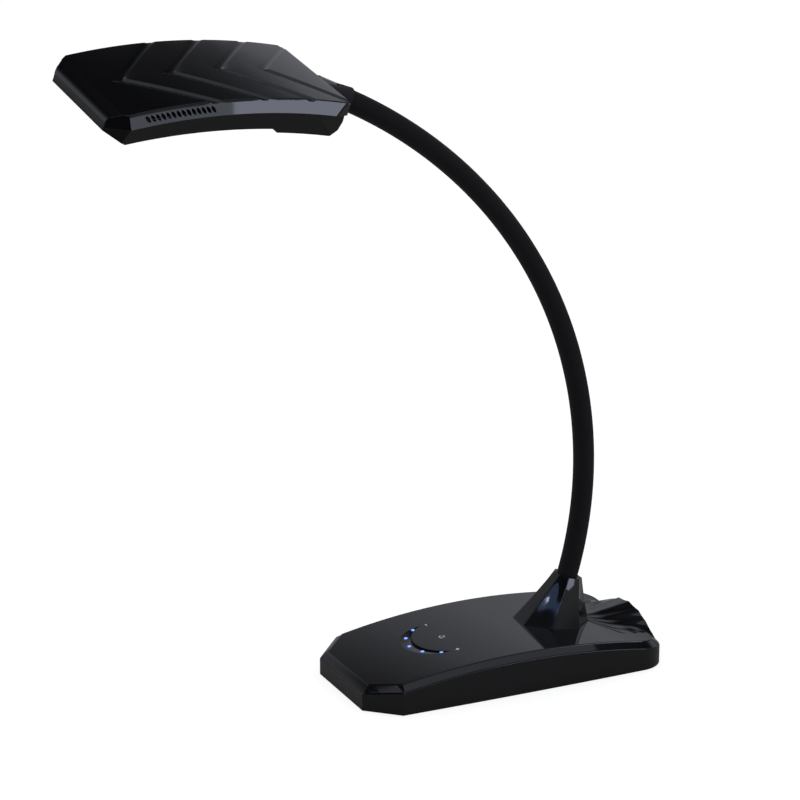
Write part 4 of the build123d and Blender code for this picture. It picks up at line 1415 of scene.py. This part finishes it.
@dataclass
class Gooseneck:
    """The bendable neck: a rubber skin over a steel core, each with a piece per joint."""

    line: NeckLine = field(default_factory=NeckLine)
    radius: float = 8.0
    core_radius: float = 5.6
    sides: int = 48
    steps: int = 7
    root_depth: float = 5.5
    tip_depth: float = 12.0
    bend_reach: float = 13.0

    def half_arc(
        self, shape: bmesh.types.BMesh, radius: float, index: int, part: int, whole: bool
    ) -> None:
        """Sweeps a tube along half of one arc, or all of it.

        Args:
            shape: The shape that gets the tube.
            radius: The tube's radius.
            index: The arc's number.
            part: 0 for the half at the root side, 1 for the half at the tip side.
            whole: Whether the sweep takes the whole arc.
        """
        length, turn = self.line.arc(index)
        bend = length / math.radians(turn)
        share = 1.0 if whole else 0.5
        start = self.line.frames()[index]
        if part and not whole:
            middle = math.radians(turn) / 2
            start = (
                start
                @ Matrix.Translation((0.0, bend * (math.cos(middle) - 1), bend * math.sin(middle)))
                @ Matrix.Rotation(middle, 4, "X")
            )
        loop = bmesh.ops.create_circle(shape, radius=radius, segments=self.sides)["verts"]
        bmesh.ops.transform(shape, matrix=start, verts=loop)
        bmesh.ops.spin(
            shape,
            geom=[*loop, *edges_of(loop)],
            cent=start @ Vector((0.0, -bend, 0.0)),
            axis=(1.0, 0.0, 0.0),
            angle=math.radians(turn) * share,
            steps=self.steps * (2 if whole else 1),
            use_duplicate=False,
        )

    def straight(
        self, shape: bmesh.types.BMesh, radius: float, frame: Matrix, reach: float
    ) -> None:
        """Sweeps a tube straight along a frame's Z.

        Args:
            shape: The shape that gets the tube.
            radius: The tube's radius.
            frame: Where the tube starts.
            reach: Its length, negative to go back.
        """
        loop = bmesh.ops.create_circle(shape, radius=radius, segments=self.sides)["verts"]
        bmesh.ops.transform(shape, matrix=frame, verts=loop)
        grown = bmesh.ops.extrude_edge_only(shape, edges=edges_of(loop))
        along = frame.to_3x3() @ Vector((0.0, 0.0, reach))
        bmesh.ops.translate(shape, verts=made_verts(grown), vec=along)

    def build(self, skin: bpy.types.Material, core: bpy.types.Material) -> list[bpy.types.Object]:
        """The skin and the steel core inside it, which bend together.

        Args:
            skin: The finish of the skin.
            core: The finish of the core.

        Returns:
            The dressed pieces, the skin's before the core's.
        """
        return [
            *self.tubes("skin", self.radius, skin, "neck_sleeve"),
            *self.tubes("coil", self.core_radius, core, "neck_core"),
        ]

    def tubes(
        self, name: str, radius: float, material: bpy.types.Material, node: str
    ) -> list[bpy.types.Object]:
        """One tube over each joint, from mid stretch to mid stretch.

        Args:
            name: What the pieces are called.
            radius: The tube's radius.
            material: Its finish.
            node: The start of the names of the nodes that the tubes replace.

        Returns:
            The tubes, from the base to the head.
        """
        frames = self.line.frames()
        pieces = []
        for joint in range(1, self.line.joints + 1):
            shape = bmesh.new()
            first, last = joint == 1, joint == self.line.joints
            self.half_arc(shape, radius, joint - 1, 1, first)
            self.half_arc(shape, radius, joint, 0, last)
            replaced = [f"{node}_{joint - 1}"]
            if first:
                self.straight(shape, radius, frames[0], -self.root_depth)
            if last:
                self.straight(shape, radius, frames[-1], self.tip_depth)
                replaced.append(f"{node}_{joint}")
            bmesh.ops.remove_doubles(shape, verts=shape.verts, dist=SWEPT_WELD)
            bmesh.ops.recalc_face_normals(shape, faces=shape.faces)
            if self.points_inwards(shape, frames[joint].translation):
                bmesh.ops.reverse_faces(shape, faces=shape.faces)
            piece = finish_piece(f"neck_{name}_{joint}", shape, material, crease=60.0)
            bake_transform(piece)
            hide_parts(*replaced)
            pieces.append(piece)
        return pieces

    def points_inwards(self, shape: bmesh.types.BMesh, centre: Vector) -> bool:
        """Whether the face nearest to a point of the centre line looks at it."""
        near = min(shape.faces, key=lambda f: (f.calc_center_median() - centre).length)
        return near.normal.dot(near.calc_center_median() - centre) < 0

    def dress(self, nodes: dict[str, bpy.types.Object]) -> None:
        """Gives the fittings at the neck's ends their finish.

        Args:
            nodes: The carried-over nodes by name.
        """
        zinc = ZINC_STEEL.make()
        parts = ("ferrule", "washer", "nut")
        fittings = [f"neck_{end}_{part}" for end in ("root", "tip") for part in parts]
        dress_nodes(nodes, {name: zinc for name in fittings})


@dataclass
class Head:
    """The LED head: a glossy grooved cover on a satin housing, with the light inside."""

    form: HeadForm = field(default_factory=HeadForm)
    groove_tips: tuple[float, ...] = (-141.4, -106.6, -72.3, -39.5)
    groove_sweep: float = 37.2
    groove_width: float = 7.0
    groove_floor: float = 3.2
    groove_depth: float = 1.5
    groove_far_depth: float = 0.8
    groove_lift: float = 0.02
    groove_headroom: float = 3.0
    groove_overlap: float = 0.05
    groove_overrun: float = 6.0
    vent_count: int = 14
    vent_sides: int = 12
    vent_first_y: float = -143.0
    vent_pitch: float = 3.4
    vent_width: float = 1.9
    vent_height: float = 6.0
    vent_slant: float = 42.0
    vent_drop: float = 5.0
    vent_inside: float = 5.0
    vent_outside: float = 4.0
    rear_nip: float = 5.0
    rear_nip_length: float = 10.5
    front_bevel: float = 6.0
    front_bevel_drop: float = 3.2
    front_rounding: float = 2.8
    front_angle: float = 15.0
    front_facets: int = 5
    crest_rounding: float = 0.6
    rounding: float = 0.7
    rounding_facets: int = 3
    corner_angle: float = 25.0
    corner_fall: float = 1.0
    strip: float = 4.0

    def plan(self, depth: float, front: float) -> list[tuple[float, float, float]]:
        """The cover's outline at a depth.

        Args:
            depth: How far below the top it lies, in millimetres.
            front: Length at which its front edge lies.

        Returns:
            Its corners in order round the cover.
        """
        form = self.form
        half = form.top_half + (form.side_half - form.top_half) * depth / form.cover_depth
        rear_half = form.side_half - self.rear_nip
        slope = form.shoulder_length / (form.side_half - form.front_half)
        waist_y = form.rear_y - self.rear_nip_length
        waist_slope = self.rear_nip_length / self.rear_nip
        front_half = form.front_half + (front - form.front_y) / slope
        right = [
            (front_half, front),
            (half, form.front_y + (half - form.front_half) * slope),
            (half, waist_y + (form.side_half - half) * waist_slope),
            (rear_half, form.rear_y),
        ]
        left = [(-x, y) for x, y in reversed(right)]
        return [(x, y, -depth) for x, y in right + left]

    def groove_cutter(self, side: int, depth: float) -> bmesh.types.BMesh:
        """One side's arms of the chevrons as bars, wider at the surface than at the floor.

        Args:
            side: 1 or -1 for the side of positive or negative x.
            depth: How deep the grooves are, in millimetres.

        Returns:
            The bars, one for each groove.
        """
        cutter = bmesh.new()
        start = -self.groove_overlap * side
        reach = self.form.side_half + self.groove_overrun
        run = reach * math.tan(math.radians(self.groove_sweep))
        secant = 1 / math.cos(math.radians(self.groove_sweep))
        levels = (
            (self.groove_floor, -depth),
            (self.groove_width, self.groove_lift),
            (self.groove_width, self.groove_headroom),
        )
        for tip in self.groove_tips:
            loops = []
            for width, height in levels:
                back = width * secant / 2
                points = [
                    (start, tip - back, height),
                    (reach * side, tip - back + run, height),
                    (reach * side, tip + back + run, height),
                    (start, tip + back, height),
                ]
                loops.append(ring(cutter, points))
            for lower, upper in zip(loops, loops[1:]):
                bmesh.ops.bridge_loops(cutter, edges=lower + upper)
            cap(cutter, loops[0])
            cap(cutter, loops[-1])
        return cutter

    def vent_cutter(self) -> bmesh.types.BMesh:
        """The side vents as slanted almond columns through both side walls.

        Returns:
            The columns.
        """
        cutter = bmesh.new()
        slant = Matrix.Rotation(math.radians(self.vent_slant), 4, "X")
        through = (self.vent_inside + self.vent_outside, 0.0, 0.0)
        side_half = self.form.side_half
        for start in (-side_half - self.vent_outside, side_half - self.vent_inside):
            for i in range(self.vent_count):
                made = bmesh.ops.create_circle(
                    cutter, cap_ends=True, radius=1.0, segments=self.vent_sides
                )["verts"]
                for vert in made:
                    across, up = vert.co.x, vert.co.y
                    width = across * abs(across) * self.vent_width / 2
                    vert.co = (0.0, width, up * self.vent_height / 2)
                faces = list({f for v in made for f in v.link_faces})
                moved = made_verts(bmesh.ops.extrude_face_region(cutter, geom=faces))
                bmesh.ops.translate(cutter, verts=moved, vec=through)
                y = self.vent_first_y + i * self.vent_pitch
                place = Matrix.Translation((start, y, -self.vent_drop)) @ slant
                bmesh.ops.transform(cutter, matrix=place, verts=made + moved)
        return cutter

    def hull(self, inset: float) -> bmesh.types.BMesh:
        """The cover's form as a closed solid, drawn in on all sides but the open one.

        Args:
            inset: How far it is drawn in, in millimetres.

        Returns:
            The solid, flat as before it is bent.
        """
        form = self.form
        shape = bmesh.new()
        loops = [
            ring(shape, self.plan(0.0, form.front_y + self.front_bevel)),
            ring(shape, self.plan(self.front_bevel_drop, form.front_y)),
            ring(shape, self.plan(form.cover_depth + inset, form.front_y)),
        ]
        for upper, lower in zip(loops, loops[1:]):
            bmesh.ops.bridge_loops(shape, edges=upper + lower)
        cap(shape, loops[0])
        cap(shape, loops[-1])
        middle = (form.front_y + form.rear_y) / 2
        length = form.rear_y - form.front_y
        share = (1 - inset / form.side_half, 1 - 2 * inset / length, 1.0)
        bmesh.ops.translate(shape, verts=shape.verts, vec=(0.0, -middle, -inset))
        bmesh.ops.scale(shape, verts=shape.verts, vec=share)
        bmesh.ops.translate(shape, verts=shape.verts, vec=(0.0, middle, 0.0))
        bmesh.ops.recalc_face_normals(shape, faces=shape.faces)
        return shape

    def fall(self, edge: bmesh.types.BMEdge) -> float:
        """How much higher one end of an edge is than the other, in millimetres."""
        return abs(edge.verts[0].co.z - edge.verts[1].co.z)

    def cover(self, material: bpy.types.Material, place: Matrix) -> bpy.types.Object:
        """The glossy upper shell with its grooves and vents.

        Args:
            material: Its finish.
            place: The head's frame in the shared frame, in millimetres.

        Returns:
            The dressed piece.
        """
        form = self.form
        shape = self.hull(0.0)
        nose = [
            e
            for e in sharp_edges(shape, self.front_angle)
            if all(v.co.y < form.front_y + NEAR for v in e.verts)
            and all(-form.cover_depth + NEAR < v.co.z < -NEAR for v in e.verts)
            and self.fall(e) < NEAR
        ]
        round_edges(shape, nose, self.front_rounding, self.front_facets)
        crest = [e for e in shape.edges if all(v.co.z > -NEAR / 2 for v in e.verts)]
        round_edges(shape, crest, self.crest_rounding, self.rounding_facets)
        sharp = sharp_edges(shape, self.corner_angle)
        corners = [e for e in sharp if self.fall(e) > self.corner_fall]
        round_edges(shape, corners, self.rounding, self.rounding_facets)
        shape = subtract(shape, self.hull(form.wall))
        for side, depth in ((1, self.groove_depth), (-1, self.groove_far_depth)):
            shape = subtract(shape, self.groove_cutter(side, depth))
        shape = subtract(shape, self.vent_cutter())
        cut_across(shape, 1, spread(form.front_y, form.rear_y, self.strip))
        form.bend(shape)
        piece = finish_piece("head_top_shell", shape, material, place, crease=30.0)
        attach(piece, "head")
        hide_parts("head_cover")
        return piece

    def dress(self, nodes: dict[str, bpy.types.Object]) -> None:
        """Gives the housing, the light and the boot their finishes.

        Args:
            nodes: The carried-over nodes by name.
        """
        zinc = ZINC_STEEL.make()
        aluminium = ROLLED_ALUMINIUM.make()
        finishes = {
            "head_housing": SATIN_BLACK.make(),
            "head_screws": zinc,
            "board_fixings": zinc,
            "lens": OPAL_LENS.make(),
            "reflector_frame": REFLECTOR_WHITE.make(),
            "led_board": aluminium,
            "heat_spreader": BLACK_ANODISED.make(),
            "led_chips": CHIP_PHOSPHOR.make(),
            "neck_boot": BOOT_RUBBER.make(),
        }
        dress_nodes(nodes, finishes)


# ------------------------------------------------------------------ studio


class Softbox(Enum):
    """The studio's soft lamps: place, aim, width and height in metres, watts and tint."""

    OVERHEAD = ((0.25, 0.2, 2.6), (0.25, 0.19, 0.0), 2.0, 3.4, 11.8, "eaf0ff")
    SIDE_CARD = ((2.09, 1.26, 0.54), (0.06, -0.2, 0.46), 0.94, 0.26, 3.2, "e3eaff")
    SIDE_FILL = ((2.45, 0.52, 0.54), (0.06, -0.2, 0.46), 0.72, 0.26, 0.9, "e3eaff")
    SKY_PANEL = ((0.71, -0.77, 1.15), (0.02, 0.05, 0.06), 0.6, 0.13, 0.31, "9cbcff")
    WINDOW = ((0.7, -0.76, 1.09), (0.02, 0.05, 0.06), 0.08, 0.1, 0.36, "dcebff")


@dataclass
class Studio:
    """A pale floor inside a round pale wall, a dim ceiling, soft lamps and the camera.

    What gloss mirrors is set apart from what the camera sees: the wall glows less, most at half
    its height, and the floor's white is turned down and ends a short way from the lamp.
    """

    camera_place: tuple[float, float, float] = (1.70867, -0.90312, 0.82305)
    azimuth: float = 64.121
    elevation: float = 17.592
    focal_px: float = 2749.0
    frame_px: float = 800.0
    sensor_mm: float = 36.0
    floor_colour: str = "949494"
    floor_tone: str = "989898"
    floor_dark: str = "101012"
    floor_half: float = 15.0
    floor_glow: float = 0.8
    gloss_share: float = 0.05
    plain_level: float = 0.7
    wall_radius: float = 3.5
    wall_height: float = 3.0
    wall_start: float = 6.0
    wall_sweep: float = 279.0
    wall_sides: int = 90
    wall_tint: tuple[float, float, float] = (0.97, 1.0, 1.1)
    paper_radius: float = 0.7
    paper_fade: float = 0.5
    wall_levels: tuple[tuple[float, float], ...] = (
        (0.0, 0.15),
        (0.45, 0.2),
        (0.9, 0.42),
        (1.4, 0.45),
        (1.82, 0.33),
        (2.16, 0.12),
        (2.5, 0.05),
        (3.0, 0.02),
    )
    ceiling_colour: str = "e6ecff"
    ceiling_edge: float = 0.6
    ceiling_low: float = 0.02
    ceiling_high: float = 0.2

    def seen_directly(
        self, tree: bpy.types.NodeTree, path: bpy.types.Node
    ) -> bpy.types.NodeSocket:
        """Tells the camera's own rays, also through glass, from those that bounced.

        Args:
            tree: The node tree.
            path: Its light path.

        Returns:
            A socket that is 1 for the camera's own rays.
        """
        return add_node(
            tree,
            "ShaderNodeMath",
            {"operation": "MAXIMUM"},
            {0: path.outputs["Is Camera Ray"], 1: path.outputs["Is Transmission Ray"]},
        ).outputs[0]

    def by_ray(
        self,
        tree: bpy.types.NodeTree,
        plain: bpy.types.NodeSocket,
        mirrored: bpy.types.NodeSocket,
        direct: bpy.types.NodeSocket,
    ) -> bpy.types.NodeSocket:
        """Chooses a shader by how it is seen.

        Args:
            tree: The node tree.
            plain: What lights dull surfaces.
            mirrored: What shows in gloss and metal.
            direct: What the camera sees, also through glass.

        Returns:
            The chosen shader's socket.
        """
        path = add_node(tree, "ShaderNodeLightPath")
        choice = {0: path.outputs["Is Glossy Ray"], 1: plain, 2: mirrored}
        bounced = add_node(tree, "ShaderNodeMixShader", {}, choice).outputs[0]
        choice = {0: self.seen_directly(tree, path), 1: bounced, 2: direct}
        return add_node(tree, "ShaderNodeMixShader", {}, choice).outputs[0]

    def ceiling(self) -> None:
        """The world: white behind the object, plain light, and a dim ceiling for its gloss."""
        world = bpy.data.worlds.new("dim_ceiling")
        bpy.context.scene.world = world
        world.use_nodes = True
        tree = world.node_tree
        tree.nodes.clear()
        view = add_node(tree, "ShaderNodeTexCoord").outputs["Generated"]
        up = add_node(tree, "ShaderNodeSeparateXYZ", {}, {0: view}).outputs["Z"]
        dimness = add_node(
            tree,
            "ShaderNodeMapRange",
            {
                "From Min": self.ceiling_edge,
                "From Max": 1.0,
                "To Min": self.ceiling_low,
                "To Max": self.ceiling_high,
            },
            {"Value": up},
        )
        plain = add_node(
            tree, "ShaderNodeBackground", {"Color": WHITE, "Strength": self.plain_level}
        )
        direct = add_node(tree, "ShaderNodeBackground", {"Color": WHITE, "Strength": 1.0})
        mirrored = add_node(
            tree,
            "ShaderNodeBackground",
            {"Color": linear(self.ceiling_colour)},
            {"Strength": dimness.outputs["Result"]},
        )
        chosen = self.by_ray(tree, plain.outputs[0], mirrored.outputs[0], direct.outputs[0])
        add_node(tree, "ShaderNodeOutputWorld", {}, {"Surface": chosen})

    def wall(self) -> bpy.types.Object:
        """A round paper wall, white behind the object, open on the camera's side.

        Returns:
            The staged wall.
        """
        shape = bmesh.new()
        start = Matrix.Rotation(math.radians(self.wall_start), 3, "Z")
        foot = shape.verts.new(start @ Vector((self.wall_radius, 0.0, 0.0)))
        crown = shape.verts.new(start @ Vector((self.wall_radius, 0.0, self.wall_height)))
        post = shape.edges.new((foot, crown))
        bmesh.ops.spin(
            shape,
            geom=[foot, crown, post],
            cent=(0.0, 0.0, 0.0),
            axis=(0.0, 0.0, 1.0),
            angle=math.radians(self.wall_sweep),
            steps=self.wall_sides,
            use_duplicate=False,
        )
        screen = loose_object("studio_wall", shape)
        material, tree, place = new_tree("studio_wall_paper")
        up = add_node(tree, "ShaderNodeSeparateXYZ", {}, {0: place}).outputs["Z"]
        share = add_node(
            tree, "ShaderNodeMath", {"operation": "DIVIDE", 1: self.wall_height}, {0: up}
        )
        fade = add_node(tree, "ShaderNodeValToRGB", {}, {0: share.outputs[0]})
        stops = fade.color_ramp.elements
        for index, (height, level) in enumerate(self.wall_levels):
            at = height / self.wall_height
            stop = stops[index] if index < 2 else stops.new(at)
            stop.position = at
            stop.color = (*(level * channel for channel in self.wall_tint), 1.0)
        plain = add_node(tree, "ShaderNodeEmission", {"Color": WHITE, "Strength": self.plain_level})
        direct = add_node(tree, "ShaderNodeEmission", {"Color": WHITE, "Strength": 1.0})
        mirrored = add_node(
            tree, "ShaderNodeEmission", {"Strength": 1.0}, {"Color": fade.outputs["Color"]}
        )
        chosen = self.by_ray(tree, plain.outputs[0], mirrored.outputs[0], direct.outputs[0])
        add_node(tree, "ShaderNodeOutputMaterial", {}, {"Surface": chosen})
        screen.data.materials.append(material)
        return screen

    def floor(self) -> bpy.types.Object:
        """A wide pale floor that keeps the lamp's shadow.

        Returns:
            The staged floor.
        """
        shape = bmesh.new()
        bmesh.ops.create_grid(shape, x_segments=1, y_segments=1, size=self.floor_half)
        plane = loose_object("studio_floor", shape)
        material, tree, place = new_tree("studio_paper")
        mottle = add_node(tree, "ShaderNodeTexNoise", {"Scale": 3.0}, {"Vector": place})
        tint = add_node(
            tree,
            "ShaderNodeMix",
            {"data_type": "RGBA", 6: linear(self.floor_colour), 7: linear(self.floor_tone)},
            {0: mottle.outputs["Fac"]},
        )
        path = add_node(tree, "ShaderNodeLightPath")
        away = add_node(tree, "ShaderNodeVectorMath", {"operation": "LENGTH"}, {0: place})
        fade = add_node(
            tree,
            "ShaderNodeMapRange",
            {
                "interpolation_type": "SMOOTHSTEP",
                "From Min": self.paper_radius,
                "From Max": self.paper_radius + self.paper_fade,
            },
            {"Value": away.outputs["Value"]},
        )
        dark = add_node(
            tree,
            "ShaderNodeMath",
            {"operation": "MULTIPLY"},
            {0: fade.outputs["Result"], 1: path.outputs["Is Glossy Ray"]},
        )
        paper = add_node(
            tree,
            "ShaderNodeMix",
            {"data_type": "RGBA", 7: linear(self.floor_dark)},
            {0: dark.outputs[0], 6: tint.outputs[2]},
        )
        seen = add_node(
            tree,
            "ShaderNodeMath",
            {"operation": "MULTIPLY_ADD", 1: self.gloss_share},
            {0: path.outputs["Is Glossy Ray"], 2: self.seen_directly(tree, path)},
        )
        glow = add_node(
            tree,
            "ShaderNodeMath",
            {"operation": "MULTIPLY", 1: self.floor_glow},
            {0: seen.outputs[0]},
        )
        shader = add_node(
            tree,
            "ShaderNodeBsdfPrincipled",
            {"Roughness": 1.0, "Specular IOR Level": 0.0, "Emission Color": WHITE},
            {"Base Color": paper.outputs[2], "Emission Strength": glow.outputs[0]},
        )
        add_node(tree, "ShaderNodeOutputMaterial", {}, {"Surface": shader.outputs["BSDF"]})
        plane.data.materials.append(material)
        return plane

    def lamps(self) -> None:
        """The soft lamps."""
        for box in Softbox:
            place, aim, width, height, power, tint = box.value
            light = bpy.data.lights.new(box.name.lower(), "AREA")
            light.shape = "RECTANGLE"
            light.size = width
            light.size_y = height
            light.energy = power
            light.color = linear(tint)[:3]
            holder = bpy.data.objects.new(box.name.lower(), light)
            holder.location = place
            ahead = Vector(aim) - Vector(place)
            holder.rotation_euler = ahead.to_track_quat("-Z", "Y").to_euler()
            bpy.context.scene.collection.objects.link(holder)

    def camera(self) -> None:
        """The camera: a long lens that looks slightly down on the lamp."""
        data = bpy.data.cameras.new("studio_camera")
        data.sensor_width = self.sensor_mm
        data.lens = self.focal_px * self.sensor_mm / self.frame_px
        data.clip_start, data.clip_end = 0.05, 100.0
        holder = bpy.data.objects.new("studio_camera", data)
        turn, tilt = math.radians(self.azimuth), math.radians(self.elevation)
        level = math.cos(tilt)
        ahead = Vector((-math.sin(turn) * level, math.cos(turn) * level, -math.sin(tilt)))
        holder.location = self.camera_place
        holder.rotation_euler = ahead.to_track_quat("-Z", "Y").to_euler()
        bpy.context.scene.collection.objects.link(holder)
        bpy.context.scene.camera = holder

    def build(self) -> None:
        """Sets the stage, the light and the view."""
        self.ceiling()
        self.wall()
        self.floor()
        self.lamps()
        self.camera()
        bpy.context.scene.view_settings.view_transform = "Standard"


def main() -> None:
    """Builds the lamp's pieces in order and sets the studio."""
    logging.basicConfig(level=logging.INFO, format="%(name)s %(message)s")
    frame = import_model()
    nodes = frame["nodes"]
    gloss = PIANO_BLACK.make()
    base = Base()
    base.top_shell(gloss)
    base.dress(nodes)
    base.controls.dress(nodes, base.form)
    neck = Gooseneck()
    Pedestal().cone(base.form, neck.line, gloss)
    Fan().build(base.form, gloss)
    neck.build(NECK_RUBBER.make(), SPRING_STEEL.make())
    neck.dress(nodes)
    head = Head()
    head.cover(gloss, head.form.place(neck.line))
    head.dress(nodes)
    Studio().build()


if __name__ == "__main__":
    main()
